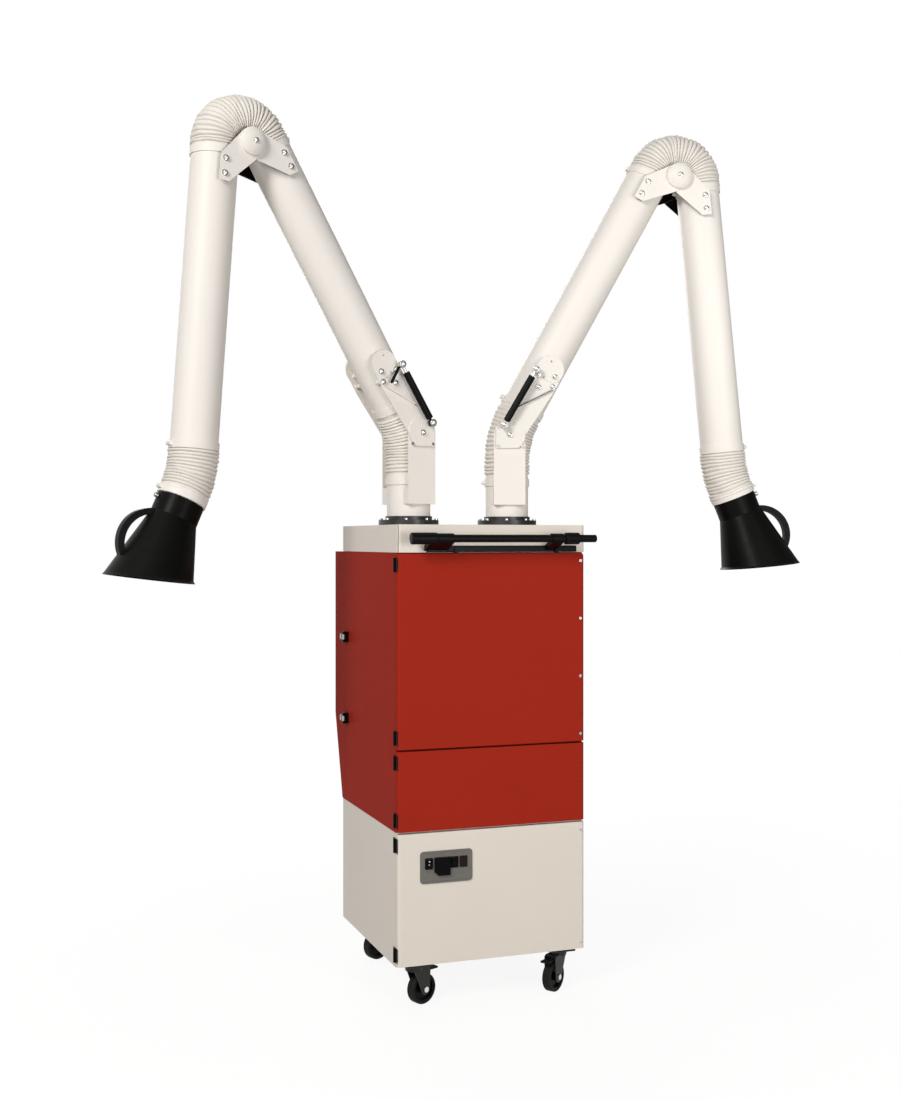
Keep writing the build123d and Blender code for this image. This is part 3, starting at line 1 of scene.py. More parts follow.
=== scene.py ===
import json
import math
import random

import bpy
from mathutils import Matrix, Vector
from mathutils.bvhtree import BVHTree


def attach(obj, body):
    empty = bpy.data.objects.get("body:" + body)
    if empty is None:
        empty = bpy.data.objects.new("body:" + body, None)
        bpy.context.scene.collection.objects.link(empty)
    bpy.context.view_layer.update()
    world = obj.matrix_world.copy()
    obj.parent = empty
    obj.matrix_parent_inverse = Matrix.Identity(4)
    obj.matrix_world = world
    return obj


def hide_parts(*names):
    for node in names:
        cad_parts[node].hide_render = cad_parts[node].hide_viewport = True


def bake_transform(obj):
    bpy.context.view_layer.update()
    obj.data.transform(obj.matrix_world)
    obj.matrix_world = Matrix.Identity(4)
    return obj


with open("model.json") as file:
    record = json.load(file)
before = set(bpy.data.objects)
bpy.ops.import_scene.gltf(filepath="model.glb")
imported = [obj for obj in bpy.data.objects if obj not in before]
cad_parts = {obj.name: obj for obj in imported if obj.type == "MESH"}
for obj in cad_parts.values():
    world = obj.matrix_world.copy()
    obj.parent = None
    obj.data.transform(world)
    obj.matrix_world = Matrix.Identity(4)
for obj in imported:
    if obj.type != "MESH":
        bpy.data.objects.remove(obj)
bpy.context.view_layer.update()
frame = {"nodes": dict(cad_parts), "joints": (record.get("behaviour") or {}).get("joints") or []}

nodes = frame["nodes"]
joints = {joint["name"]: joint for joint in frame["joints"]}
MM = 0.001


# Camera, as the photograph was taken
def place_camera():
    camera = bpy.data.cameras.new("camera")
    view = bpy.data.objects.new("camera", camera)
    bpy.context.scene.collection.objects.link(view)
    view.location = (-1.6481, -4.5474, 1.507)
    view.rotation_euler = (math.radians(90), 0, math.radians(-19.577))
    camera.sensor_fit = "VERTICAL"
    camera.sensor_height = 36
    camera.lens = 45.30
    camera.shift_y = -0.00877
    camera.dof.use_dof = False
    bpy.context.scene.camera = view


place_camera()

# Sizes that the hoses share with the tubes, in metres
TUBE = 75 * MM
HOSE_WALL = 1.6 * MM
RIB_OUT = 81.0 * MM
RIB_IN = 73.0 * MM
CUFF = 28 * MM
INNER_LENGTH = 1087 * MM
ELBOW_OFFSET = 85 * MM
ELBOW_REACH = 40 * MM
OUTER_LENGTH = 1055 * MM
WRIST_REACH = 90 * MM
WRIST_STRAIGHT = 30 * MM
SHOULDER_REACH = 115 * MM
SHOULDER_STRAIGHT = 20 * MM
FOOT_TO_SHOULDER = 164 * MM


# Shared shader groups
def start_group(name, inputs, outputs):
    group = bpy.data.node_groups.new(name, "ShaderNodeTree")
    for label, kind, value in inputs:
        socket = group.interface.new_socket(label, in_out="INPUT", socket_type=kind)
        socket.default_value = value
    for label, kind in outputs:
        group.interface.new_socket(label, in_out="OUTPUT", socket_type=kind)
    return group, group.nodes.new("NodeGroupInput"), group.nodes.new("NodeGroupOutput")


def number(tree, operation, first, second):
    node = tree.nodes.new("ShaderNodeMath")
    node.operation = operation
    for socket, value in zip(node.inputs, (first, second)):
        if isinstance(value, (int, float)):
            socket.default_value = value
        else:
            tree.links.new(value, socket)
    return node.outputs[0]


def limited(tree, value):
    return number(tree, "MINIMUM", number(tree, "MAXIMUM", value, 0.0), 1.0)


def noise(tree, vector, scale, detail, roughness):
    node = tree.nodes.new("ShaderNodeTexNoise")
    node.inputs["Detail"].default_value = detail
    node.inputs["Roughness"].default_value = roughness
    if isinstance(scale, (int, float)):
        node.inputs["Scale"].default_value = scale
    else:
        tree.links.new(scale, node.inputs["Scale"])
    tree.links.new(vector, node.inputs["Vector"])
    return node.outputs["Fac"]


def mix_colour(tree, amount, first, second):
    node = tree.nodes.new("ShaderNodeMix")
    node.data_type = "RGBA"
    for socket, value in ((node.inputs[0], amount), (node.inputs[6], first), (node.inputs[7], second)):
        if isinstance(value, bpy.types.NodeSocket):
            tree.links.new(value, socket)
        elif isinstance(value, tuple):
            socket.default_value = (*value, 1)
        else:
            socket.default_value = value
    return node.outputs[2]


def make_finish_group():
    # Fine coat texture, slow colour drift and settled dust, for every hard surface.
    group, given, out = start_group(
        "coat_surface",
        [("Colour", "NodeSocketColor", (1, 1, 1, 1)),
         ("Dust Colour", "NodeSocketColor", (0.6, 0.57, 0.52, 1)),
         ("Grain Scale", "NodeSocketFloat", 900.0), ("Drift", "NodeSocketFloat", 0.06),
         ("Dust", "NodeSocketFloat", 0.1), ("Roughness", "NodeSocketFloat", 0.4),
         ("Rough Drift", "NodeSocketFloat", 0.08)],
        [("Colour", "NodeSocketColor"), ("Roughness", "NodeSocketFloat"), ("Height", "NodeSocketFloat")],
    )
    place = group.nodes.new("ShaderNodeTexCoord").outputs["Object"]
    fine = noise(group, place, given.outputs["Grain Scale"], 2.0, 0.6)
    slow = noise(group, place, 3.5, 3.0, 0.55)
    patch = noise(group, place, 26.0, 4.0, 0.6)
    drift = number(group, "MULTIPLY", number(group, "SUBTRACT", slow, 0.5), given.outputs["Drift"])
    shade = number(group, "ADD", 1.0, drift)
    tint = group.nodes.new("ShaderNodeVectorMath")
    tint.operation = "SCALE"
    group.links.new(given.outputs["Colour"], tint.inputs[0])
    group.links.new(shade, tint.inputs["Scale"])
    normal = group.nodes.new("ShaderNodeNewGeometry").outputs["Normal"]
    split = group.nodes.new("ShaderNodeSeparateXYZ")
    group.links.new(normal, split.inputs[0])
    upward = number(group, "MAXIMUM", split.outputs["Z"], 0.0)
    settled = number(group, "MULTIPLY", number(group, "POWER", upward, 3.0), given.outputs["Dust"])
    settled = number(group, "MULTIPLY", settled, patch)
    colour = mix_colour(group, settled, tint.outputs[0], given.outputs["Dust Colour"])
    rough = number(group, "MULTIPLY", number(group, "SUBTRACT", patch, 0.5), given.outputs["Rough Drift"])
    rough = number(group, "ADD", given.outputs["Roughness"], rough)
    rough = number(group, "ADD", rough, number(group, "MULTIPLY", settled, 0.4))
    group.links.new(colour, out.inputs["Colour"])
    group.links.new(rough, out.inputs["Roughness"])
    group.links.new(fine, out.inputs["Height"])
    return group


def make_scuff_group():
    # Sparse rub marks between two heights, as on a case that is pushed about a workshop.
    group, given, out = start_group(
        "rub_marks",
        [("Top", "NodeSocketFloat", 0.3), ("Fade", "NodeSocketFloat", 0.25),
         ("Scale", "NodeSocketFloat", 60.0)],
        [("Mask", "NodeSocketFloat")],
    )
    place = group.nodes.new("ShaderNodeTexCoord").outputs["Object"]
    stretch = group.nodes.new("ShaderNodeMapping")
    stretch.inputs["Scale"].default_value = (0.35, 0.35, 2.2)
    group.links.new(place, stretch.inputs["Vector"])
    streak = noise(group, stretch.outputs[0], given.outputs["Scale"], 5.0, 0.7)
    sharp = group.nodes.new("ShaderNodeMapRange")
    sharp.inputs["From Min"].default_value = 0.62
    sharp.inputs["From Max"].default_value = 0.74
    group.links.new(streak, sharp.inputs["Value"])
    split = group.nodes.new("ShaderNodeSeparateXYZ")
    group.links.new(place, split.inputs[0])
    below = number(group, "SUBTRACT", given.outputs["Top"], split.outputs["Z"])
    near = number(group, "DIVIDE", below, given.outputs["Fade"])
    group.links.new(number(group, "MULTIPLY", sharp.outputs[0], limited(group, near)), out.inputs["Mask"])
    return group


def make_weave_group():
    # Coated cloth: crossing threads from the piece's own UV map.
    group, given, out = start_group(
        "hose_cloth",
        [("Threads", "NodeSocketFloat", 260.0)],
        [("Height", "NodeSocketFloat"), ("Shade", "NodeSocketFloat")],
    )
    uv = group.nodes.new("ShaderNodeUVMap")
    uv.uv_map = "UVMap"
    split = group.nodes.new("ShaderNodeSeparateXYZ")
    group.links.new(uv.outputs[0], split.inputs[0])
    waves = []
    for axis in ("X", "Y"):
        turned = number(group, "MULTIPLY", split.outputs[axis], given.outputs["Threads"])
        waves.append(number(group, "ABSOLUTE", number(group, "SINE", turned, 0.0), 0.0))
    cloth = number(group, "MULTIPLY", waves[0], waves[1])
    place = group.nodes.new("ShaderNodeTexCoord").outputs["Object"]
    crease = noise(group, place, 42.0, 5.0, 0.62)
    height = number(group, "ADD", number(group, "MULTIPLY", cloth, 0.12), crease)
    group.links.new(height, out.inputs["Height"])
    group.links.new(crease, out.inputs["Shade"])
    return group


FINISH = make_finish_group()
RUB = make_scuff_group()
CLOTH = make_weave_group()


def start_material(name, sheen=0.0, metallic=0.0, ior=1.5):
    material = bpy.data.materials.new(name)
    material.use_nodes = True
    shader = material.node_tree.nodes["Principled BSDF"]
    shader.inputs["Sheen Weight"].default_value = sheen
    shader.inputs["Metallic"].default_value = metallic
    shader.inputs["IOR"].default_value = ior
    return material, material.node_tree, shader


def place_group(tree, group, **values):
    node = tree.nodes.new("ShaderNodeGroup")
    node.node_tree = group
    for label, value in values.items():
        node.inputs[label.replace("_", " ")].default_value = value
    return node


def add_bump(tree, shader, height, strength, distance):
    bump = tree.nodes.new("ShaderNodeBump")
    bump.inputs["Strength"].default_value = strength
    bump.inputs["Distance"].default_value = distance
    tree.links.new(height, bump.inputs["Height"])
    tree.links.new(bump.outputs[0], shader.inputs["Normal"])


def coated(name, colour, roughness, grain=900.0, bump=0.25, depth=0.00015, drift=0.05, dust=0.12,
           rough_drift=0.08, metallic=0.0, ior=1.25, rub=None):
    # A hard surface. Rub marks are given as top, fade, scale, amount and colour.
    material, tree, shader = start_material(name, metallic=metallic, ior=ior)
    finish = place_group(
        tree, FINISH, Colour=(*colour, 1), Grain_Scale=grain, Drift=drift, Dust=dust, Roughness=roughness,
        Rough_Drift=rough_drift,
    )
    paint = finish.outputs["Colour"]
    if rub:
        top, fade, scale, amount, bare = rub
        marks = place_group(tree, RUB, Top=top, Fade=fade, Scale=scale)
        paint = mix_colour(tree, number(tree, "MULTIPLY", marks.outputs["Mask"], amount), paint, bare)
    tree.links.new(paint, shader.inputs["Base Color"])
    tree.links.new(finish.outputs["Roughness"], shader.inputs["Roughness"])
    add_bump(tree, shader, finish.outputs["Height"], bump, depth)
    return material


def make_hose_cloth():
    # Coated cloth with painted shade: the deeper it lies in a fold, the darker its colour.
    material, tree, shader = start_material("white_hose_cloth", sheen=0.08, ior=1.2)
    finish = place_group(
        tree, FINISH, Colour=(0.84, 0.80, 0.74, 1), Grain_Scale=500.0, Drift=0.05, Dust=0.15, Roughness=0.66,
        Rough_Drift=0.1,
    )
    cloth = place_group(tree, CLOTH, Threads=900.0)
    folds = tree.nodes.new("ShaderNodeAttribute")
    folds.attribute_name = "fold_shade_depth"
    # Painted shade in the folds: the colour darkens towards dark brown-grey.
    deep = number(tree, "POWER", folds.outputs["Fac"], 1.6)
    fold_shade_mix = number(tree, "MULTIPLY", deep, 0.7)
    colour = mix_colour(tree, fold_shade_mix, finish.outputs["Colour"], (0.30, 0.27, 0.24))
    shade = number(tree, "MULTIPLY", number(tree, "SUBTRACT", cloth.outputs["Shade"], 0.5), 0.6)
    colour = mix_colour(tree, limited(tree, shade), colour, (0.55, 0.51, 0.45))
    tree.links.new(colour, shader.inputs["Base Color"])
    tree.links.new(finish.outputs["Roughness"], shader.inputs["Roughness"])
    add_bump(tree, shader, cloth.outputs["Height"], 0.3, 0.0008)
    return material


# The middles of the four cartridges stand this far to each side of the cabinet's middle, and this far
# above and below one height
CARTRIDGE_OFFSET = 150 * MM
CARTRIDGE_MIDDLE = 1151 * MM
PLEAT_COUNT = 84


def make_pleated_cloth():
    # Pleats run along each cartridge, counted round its own middle; each pleat's valley gets painted shade.
    material, tree, shader = start_material("pleated_filter_cloth", ior=1.2)
    finish = place_group(
        tree, FINISH, Colour=(0.70, 0.67, 0.58, 1), Grain_Scale=650.0, Drift=0.2, Dust=0.4, Roughness=0.85,
        Rough_Drift=0.05,
    )
    place = tree.nodes.new("ShaderNodeTexCoord")
    parts = tree.nodes.new("ShaderNodeSeparateXYZ")
    tree.links.new(place.outputs["Object"], parts.inputs[0])
    height = number(tree, "SUBTRACT", parts.outputs["Z"], CARTRIDGE_MIDDLE)
    across, up = (number(tree, "SUBTRACT", number(tree, "ABSOLUTE", value, 0.0), CARTRIDGE_OFFSET)
                  for value in (parts.outputs["X"], height))
    turns = number(tree, "MULTIPLY", number(tree, "ARCTAN2", up, across), float(PLEAT_COUNT))
    wave = number(tree, "SINE", turns, 0.0)
    # Painted shade, darkest at the bottom of each pleat.
    pleat_shade = number(tree, "MULTIPLY", number(tree, "SUBTRACT", 1.0, wave), 0.35)
    colour = mix_colour(tree, pleat_shade, finish.outputs["Colour"], (0.26, 0.24, 0.20))
    tree.links.new(colour, shader.inputs["Base Color"])
    tree.links.new(finish.outputs["Roughness"], shader.inputs["Roughness"])
    add_bump(tree, shader, wave, 0.6, 0.002)
    return material


RED = coated("red_powder_coat", (0.360, 0.025, 0.013), 0.46, grain=1100.0, bump=0.3, drift=0.08, dust=0.04,
             ior=1.05, rub=(0.80, 0.30, 38.0, 0.16, (0.20, 0.014, 0.008)))
CREAM = coated("cream_powder_coat", (0.79, 0.725, 0.65), 0.48, grain=1100.0, bump=0.3, drift=0.05, dust=0.12,
               rub=(0.30, 0.22, 34.0, 0.30, (0.50, 0.45, 0.39)))
ARM_WHITE = coated("arm_white_powder_coat", (0.86, 0.82, 0.77), 0.40, grain=1200.0, bump=0.22, drift=0.04,
                   dust=0.10)
HOSE = make_hose_cloth()
NOZZLE = coated("black_nozzle_plastic", (0.004, 0.004, 0.0035), 0.36, grain=700.0, bump=0.35, depth=0.0002,
                drift=0.3, dust=0.03, rough_drift=0.18, ior=1.14)
BLACK = coated("black_satin_coat", (0.004, 0.004, 0.004), 0.34, grain=900.0, bump=0.25, drift=0.2, dust=0.02,
               ior=1.16)
FLANGE = coated("black_flange_coat", (0.018, 0.017, 0.016), 0.34, grain=900.0, bump=0.25, drift=0.2,
                dust=0.05, ior=1.5)
TREAD = coated("dark_tread_rubber", (0.014, 0.013, 0.012), 0.6, grain=420.0, bump=0.5, depth=0.0004,
               drift=0.4, dust=0.04, ior=1.2, rub=(0.12, 0.08, 90.0, 0.4, (0.06, 0.055, 0.05)))
FORK = coated("dark_fork_coat", (0.014, 0.0135, 0.013), 0.38, grain=500.0, bump=0.3, drift=0.3, dust=0.05,
              ior=1.35)
CHROME = coated("bright_plating", (0.62, 0.61, 0.59), 0.20, grain=300.0, bump=0.05, drift=0.04, dust=0.02,
                rough_drift=0.10, metallic=1.0)
ZINC = coated("zinc_plate", (0.40, 0.40, 0.385), 0.34, grain=260.0, bump=0.2, drift=0.25, dust=0.1,
              rough_drift=0.2, metallic=1.0)
PANEL = coated("grey_panel_foil", (0.165, 0.157, 0.142), 0.46, grain=1500.0, bump=0.2, drift=0.05, dust=0.02)
SWITCH = coated("switch_plastic", (0.003, 0.003, 0.003), 0.34, grain=1200.0, bump=0.12, drift=0.1, dust=0.0,
                ior=1.12)
LAMP = coated("brown_lamp_lens", (0.014, 0.007, 0.004), 0.2, grain=600.0, bump=0.1, drift=0.2, dust=0.0,
              ior=1.2)
# Dark grey painted shade for the bracket's folded edge.
FOLD_SHADE = coated("painted_shade_fold_edge", (0.15, 0.14, 0.13), 0.4, grain=700.0, bump=0.2, drift=0.2, dust=0.05)
FAINT = coated("faint_panel_marking", (0.060, 0.057, 0.050), 0.5, grain=900.0, bump=0.1, drift=0.02,
               dust=0.0)
MARK = coated("white_marking", (0.80, 0.80, 0.78), 0.5, grain=900.0, bump=0.1, drift=0.02, dust=0.0)
SHEET_STEEL = coated("plain_sheet", (0.56, 0.56, 0.55), 0.38, grain=180.0, bump=0.2, drift=0.2, dust=0.3,
                     rough_drift=0.2, metallic=1.0)
FILTER = make_pleated_cloth()
ENAMEL = coated("motor_enamel", (0.07, 0.085, 0.10), 0.4, grain=500.0, bump=0.3, drift=0.2, dust=0.4)
# Near-black painted shade for the elbow plates' inner faces.
SHADE = coated("painted_shade_inside", (0.010, 0.009, 0.008), 0.7, grain=600.0, bump=0.3, drift=0.3, dust=0.0,
               ior=1.1)

NODE_FINISH = {
    "base_housing": CREAM, "top_hood": CREAM, "base_door": CREAM, "filter_housing": RED, "upper_door": RED,
    "dust_door": RED, "rear_cover": RED, "hinges": BLACK, "latch_upper": ZINC, "latch_lower": ZINC,
    "push_handle": BLACK, "control_panel": PANEL, "rocker_1": SWITCH, "rocker_2": SWITCH,
    "filter_cartridges": FILTER, "dust_bin": SHEET_STEEL, "fan_wheel": SHEET_STEEL, "fan_unit": ENAMEL,
    "air_tank": ENAMEL, "caster_plates": FORK, "arm_flanges": FLANGE, "flange_bolts": CHROME,
}
ARM_FINISH = {
    "foot": ARM_WHITE, "strut_cylinders": BLACK, "strut_rods": CHROME, "inner_tube": ARM_WHITE,
    "inner_brackets": ARM_WHITE, "elbow_caps": ARM_WHITE, "outer_tube": ARM_WHITE, "outer_plates": ARM_WHITE,
    "wrist_collar": ARM_WHITE, "hood": NOZZLE, "damper": ZINC, "shoulder_hose": HOSE, "elbow_hose": HOSE,
    "wrist_hose": HOSE,
}


def finish_of(name):
    if name in NODE_FINISH:
        return NODE_FINISH[name]
    for start, finish in (("fork_", FORK), ("wheel_", TREAD), ("pedal_", BLACK)):
        if name.startswith(start):
            return finish
    return ARM_FINISH[name.split("_", 1)[1]]


def paint_nodes():
    for name, node in nodes.items():
        node.data.materials.clear()
        node.data.materials.append(finish_of(name))


def loose_parts(mesh):
    # Groups of faces that touch, found by the places of their corners.
    parent = {}

    def find(key):
        while parent[key] != key:
            parent[key] = parent[parent[key]]
            key = parent[key]
        return key

    keys = [tuple(round(value, 6) for value in vertex.co) for vertex in mesh.vertices]
    for key in keys:
        parent.setdefault(key, key)
    for face in mesh.polygons:
        first = find(keys[face.vertices[0]])
        for index in face.vertices[1:]:
            parent[find(keys[index])] = first
    groups = {}
    for face in mesh.polygons:
        groups.setdefault(find(keys[face.vertices[0]]), []).append(face)
    return list(groups.values())


def repaint(name, finish, chosen):
    # Gives another finish to the faces of one node that the test picks.
    mesh = nodes[name].data
    mesh.materials.append(finish)
    slot = len(mesh.materials) - 1
    for face in mesh.polygons:
        if chosen(face):
            face.material_index = slot


def repaint_parts(name, finish, chosen):
    # The same for whole loose pieces of a node, tested by their lowest and highest corners.
    mesh = nodes[name].data
    mesh.materials.append(finish)
    slot = len(mesh.materials) - 1
    for faces in loose_parts(mesh):
        corners = [mesh.vertices[index].co for face in faces for index in face.vertices]
        low = Vector([min(corner[axis] for corner in corners) for axis in range(3)])
        high = Vector([max(corner[axis] for corner in corners) for axis in range(3)])
        if chosen(low, high):
            for face in faces:
                face.material_index = slot


# Frames along each arm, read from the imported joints
def arm_frames(side):
    shoulder = Vector(joints[side + "_shoulder"]["pos_m"])
    elbow = Vector(joints[side + "_elbow"]["pos_m"])
    wrist = Vector(joints[side + "_wrist"]["pos_m"])
    across = Vector(joints[side + "_shoulder"]["axis"]).normalized()
    up = Vector((0, 0, 1))
    outward = across.cross(up)

    def lean_of(vector):
        return math.atan2(vector.dot(outward), vector.dot(up))

    def axes_at(origin, lean):
        along = outward * math.sin(lean) + up * math.cos(lean)
        sideways = outward * math.cos(lean) - up * math.sin(lean)
        matrix = Matrix((sideways, across, along)).transposed().to_4x4()
        matrix.translation = origin
        return matrix

    inner_lean = lean_of(elbow - shoulder) - math.atan2(ELBOW_OFFSET, INNER_LENGTH)
    outer_lean = lean_of(wrist - elbow) + math.atan2(ELBOW_OFFSET, OUTER_LENGTH)
    hood_lean = lean_of(Vector(joints[side + "_nozzle_turn"]["axis"]))
    return {
        "foot": axes_at(shoulder, 0.0), "inner": axes_at(shoulder, inner_lean),
        "outer": axes_at(elbow, outer_lean), "leans": (inner_lean, outer_lean, hood_lean),
    }


ARMS = {side: arm_frames(side) for side in ("left", "right")}


# Modelling steps that several pieces share
CLOTH_SMOOTH = math.radians(50)
METAL_SMOOTH = math.radians(32)
BEVEL = 0.5 * MM


def clear_selection():
    if bpy.context.object and bpy.context.object.mode != "OBJECT":
        bpy.ops.object.mode_set(mode="OBJECT")
    bpy.ops.object.select_all(action="DESELECT")


def start_edit():
    bpy.ops.object.mode_set(mode="EDIT")
    bpy.ops.mesh.select_all(action="SELECT")


def end_edit():
    bpy.ops.mesh.select_all(action="SELECT")
    bpy.ops.mesh.normals_make_consistent(inside=False)
    bpy.ops.object.mode_set(mode="OBJECT")


def start_disc(sides, radius):
    # A filled disc on the plane z = 0, open for editing with everything selected.
    clear_selection()
    bpy.ops.mesh.primitive_circle_add(vertices=sides, radius=radius, fill_type="NGON", location=(0, 0, 0))
    disc = bpy.context.object
    start_edit()
    return disc


def extrude(distance):
    bpy.ops.mesh.extrude_region_move(TRANSFORM_OT_translate={"value": (0, 0, distance)})


# Ribbed hoses: the sides round each ring, and the share of the cuff that stays smooth
HOSE_SIDES = 96
CUFF_END_SHARE = 0.85

# Folds of each hose: their count, the cuff before them, and how much shade is painted into them
SHOULDER_FOLDS = (17, CUFF, 0.42)
ELBOW_FOLDS = (28, CUFF / 3, 0.85)
WRIST_FOLDS = (13, CUFF / 2, 0.6)

# How far single folds differ, how far the slack cloth swells and drifts, and a fold's outline as shares
# of its pitch and of its rise
RIB_OUT_SPREAD = 2.2 * MM
RIB_IN_SPREAD = 1.2 * MM
RIB_SHIFT = 0.2
SWELL = 0.32 * MM
DRIFT = 0.8 * MM
RIB_SHARES = ((0.05, 0.0), (0.15, 0.60), (0.29, 0.93), (0.48, 1.0), (0.68, 0.94), (0.87, 0.62))


def rib_rings(total, rib_count, cuff, fold_shade, seed):
    # Distance, radius and painted fold shade of each ring along a hose; no two folds are quite alike.
    chance = random.Random(seed)
    edge = cuff * CUFF_END_SHARE
    rings = [(0.0, TUBE, 0.0), (edge, TUBE, 0.0), (cuff, RIB_IN, 0.8 * fold_shade)]
    pitch = (total - 2 * cuff) / rib_count
    for rib in range(rib_count):
        start = cuff + rib * pitch
        out = RIB_OUT - chance.random() * RIB_OUT_SPREAD
        root = RIB_IN + chance.random() * RIB_IN_SPREAD
        shift = (chance.random() - 0.5) * RIB_SHIFT
        for share, rise in RIB_SHARES:
            rings.append((start + (share + shift) * pitch, root + (out - root) * rise, (1 - rise) * fold_shade))
    rings += [(total - cuff, RIB_IN, 0.8 * fold_shade), (total - edge, TUBE, 0.0), (total, TUBE, 0.0)]
    return rings


def straight_hose(name, rings):
    # One edge is drawn ring by ring and spun round the hose's axis.
    clear_selection()
    bpy.ops.mesh.primitive_plane_add(size=MM, location=(0, 0, 0))
    hose = bpy.context.object
    hose.name = name
    start_edit()
    bpy.ops.mesh.merge(type="CENTER")
    bpy.ops.transform.translate(value=(rings[0][1], 0, 0))
    before, radius = rings[0][:2]
    for distance, wanted, depth in rings[1:]:
        step = (wanted - radius, 0, distance - before)
        bpy.ops.mesh.extrude_vertices_move(TRANSFORM_OT_translate={"value": step})
        before, radius = distance, wanted
    bpy.ops.mesh.select_all(action="SELECT")
    bpy.ops.mesh.spin(steps=HOSE_SIDES, angle=2 * math.pi, center=(0, 0, 0), axis=(0, 0, 1))
    bpy.ops.mesh.select_all(action="SELECT")
    bpy.ops.mesh.remove_doubles(threshold=0.02 * MM)
    end_edit()
    # Each point carries its ring's painted fold shade.
    folds = hose.data.attributes.new("fold_shade_depth", "FLOAT", "POINT")
    depths = {round(distance, 6): depth for distance, wanted, depth in rings}
    for vertex in hose.data.vertices:
        folds.data[vertex.index].value = depths.get(round(vertex.co.z, 6), 0.0)
    return hose


def unwrap_hose(hose):
    # One turn of the hose is one unit wide in its UV map, and lengths keep the same scale.
    layer = hose.data.uv_layers.new(name="UVMap")
    around = 2 * math.pi * TUBE
    for face in hose.data.polygons:
        turns = []
        for index in face.loop_indices:
            corner = hose.data.vertices[hose.data.loops[index].vertex_index].co
            turns.append(math.atan2(corner.y, corner.x) / (2 * math.pi))
        if max(turns) - min(turns) > 0.5:
            turns = [turn + 1 if turn < 0 else turn for turn in turns]
        for index, turn in zip(face.loop_indices, turns):
            corner = hose.data.vertices[hose.data.loops[index].vertex_index].co
            layer.data[index].uv = (turn, corner.z / around)


def middle_line(first, radius, turn, distance):
    # Where a hose's middle lies, past its first run, along a run, an arc and a run in its x-z plane.
    flip = 1 if turn > 0 else -1
    angle = min(distance - first, radius * abs(turn)) / radius
    rest = distance - first - angle * radius
    x = flip * (radius - radius * math.cos(angle)) + flip * rest * math.sin(angle)
    z = first + radius * math.sin(angle) + rest * math.cos(angle)
    return x, z, flip * angle


def bend_hose(hose, first, radius, turn):
    # Lays the straight hose along its bent middle line.
    for vertex in hose.data.vertices:
        x, y, distance = vertex.co
        if distance > first:
            centre_x, centre_z, angle = middle_line(first, radius, turn, distance)
            vertex.co = (centre_x + x * math.cos(angle), y, centre_z - x * math.sin(angle))


def slacken(hose, total, cuff, seed):
    # The cloth sags a little between its wires, so that a fold wanders and changes in depth round the hose.
    chance = random.Random(seed)
    waves = [(chance.randint(1, 3), chance.uniform(15, 70), chance.uniform(0, 6)) for _ in range(4)]
    ripples = [(chance.randint(4, 9), chance.uniform(60, 190), chance.uniform(0, 6)) for _ in range(4)]
    for vertex in hose.data.vertices:
        x, y, distance = vertex.co
        ease = min(1.0, max(0.0, min(distance, total - distance) - cuff) / cuff)
        if not ease:
            continue
        angle = math.atan2(y, x)
        drift = sum(math.sin(turns * angle + along * distance + start) for turns, along, start in waves)
        swell = sum(math.sin(turns * angle + along * distance + start) for turns, along, start in ripples)
        out = 1 + swell * ease * SWELL / TUBE
        vertex.co = (x * out, y * out, distance + drift * ease * DRIFT)


def make_hose(name, placing, first, radius, turn, last, folds, bodies, replaced, seed):
    # A run, an arc and a run between two tubes that may turn against each other; the hose is laid as the
    # tubes stand now.
    total = first + radius * abs(turn) + last
    rib_count, cuff, fold_shade = folds
    hose = straight_hose(name, rib_rings(total, rib_count, cuff, fold_shade, seed))
    unwrap_hose(hose)
    slacken(hose, total, cuff, seed + 1)
    bend_hose(hose, first, radius, turn)
    hose.data.transform(placing)
    thick = hose.modifiers.new("wall", "SOLIDIFY")
    thick.thickness = HOSE_WALL
    thick.offset = -1
    bpy.ops.object.modifier_apply(modifier="wall")
    bpy.ops.object.shade_smooth_by_angle(angle=CLOTH_SMOOTH)
    hose.data.materials.append(HOSE)
    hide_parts(replaced)
    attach(hose, bodies[0])
    hose.parent = None
    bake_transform(hose)


def make_hoses(side, seed):
    arm = ARMS[side]
    inner_lean, outer_lean, hood_lean = arm["leans"]
    foot, inner, outer, collar = (f"{side}_{name}_link" for name in ("foot", "inner", "outer", "collar"))
    tangent = SHOULDER_REACH - SHOULDER_STRAIGHT
    start = arm["foot"] @ Matrix.Translation((0, 0, -FOOT_TO_SHOULDER))
    make_hose(
        side + "_shoulder_hose_skin", start, FOOT_TO_SHOULDER - tangent, tangent / math.tan(inner_lean / 2),
        inner_lean, SHOULDER_STRAIGHT, SHOULDER_FOLDS, (foot, inner), side + "_shoulder_hose", seed,
    )
    start = arm["inner"] @ Matrix.Translation((0, 0, INNER_LENGTH - ELBOW_REACH))
    make_hose(
        side + "_elbow_hose_skin", start, ELBOW_REACH, ELBOW_OFFSET, outer_lean - inner_lean, ELBOW_REACH,
        ELBOW_FOLDS, (inner, outer), side + "_elbow_hose", seed + 10,
    )
    turn = hood_lean - outer_lean
    tangent = WRIST_REACH - WRIST_STRAIGHT
    start = arm["outer"] @ Matrix.Translation((-ELBOW_OFFSET, 0, OUTER_LENGTH - WRIST_REACH))
    make_hose(
        side + "_wrist_hose_skin", start, WRIST_STRAIGHT, tangent / math.tan(abs(turn) / 2), turn,
        WRIST_STRAIGHT, WRIST_FOLDS, (outer, collar), side + "_wrist_hose", seed + 20,
    )


# The plates beside the tubes, by |y|: the first layer, the step from layer to layer, their thickness, and
# the outer faces of the second and third layer
LAYER = 80.5 * MM
PITCH = 3.3 * MM
PLATE = 3 * MM
SECOND_FACE = LAYER + PITCH + PLATE
THIRD_FACE = LAYER + 2 * PITCH + PLATE

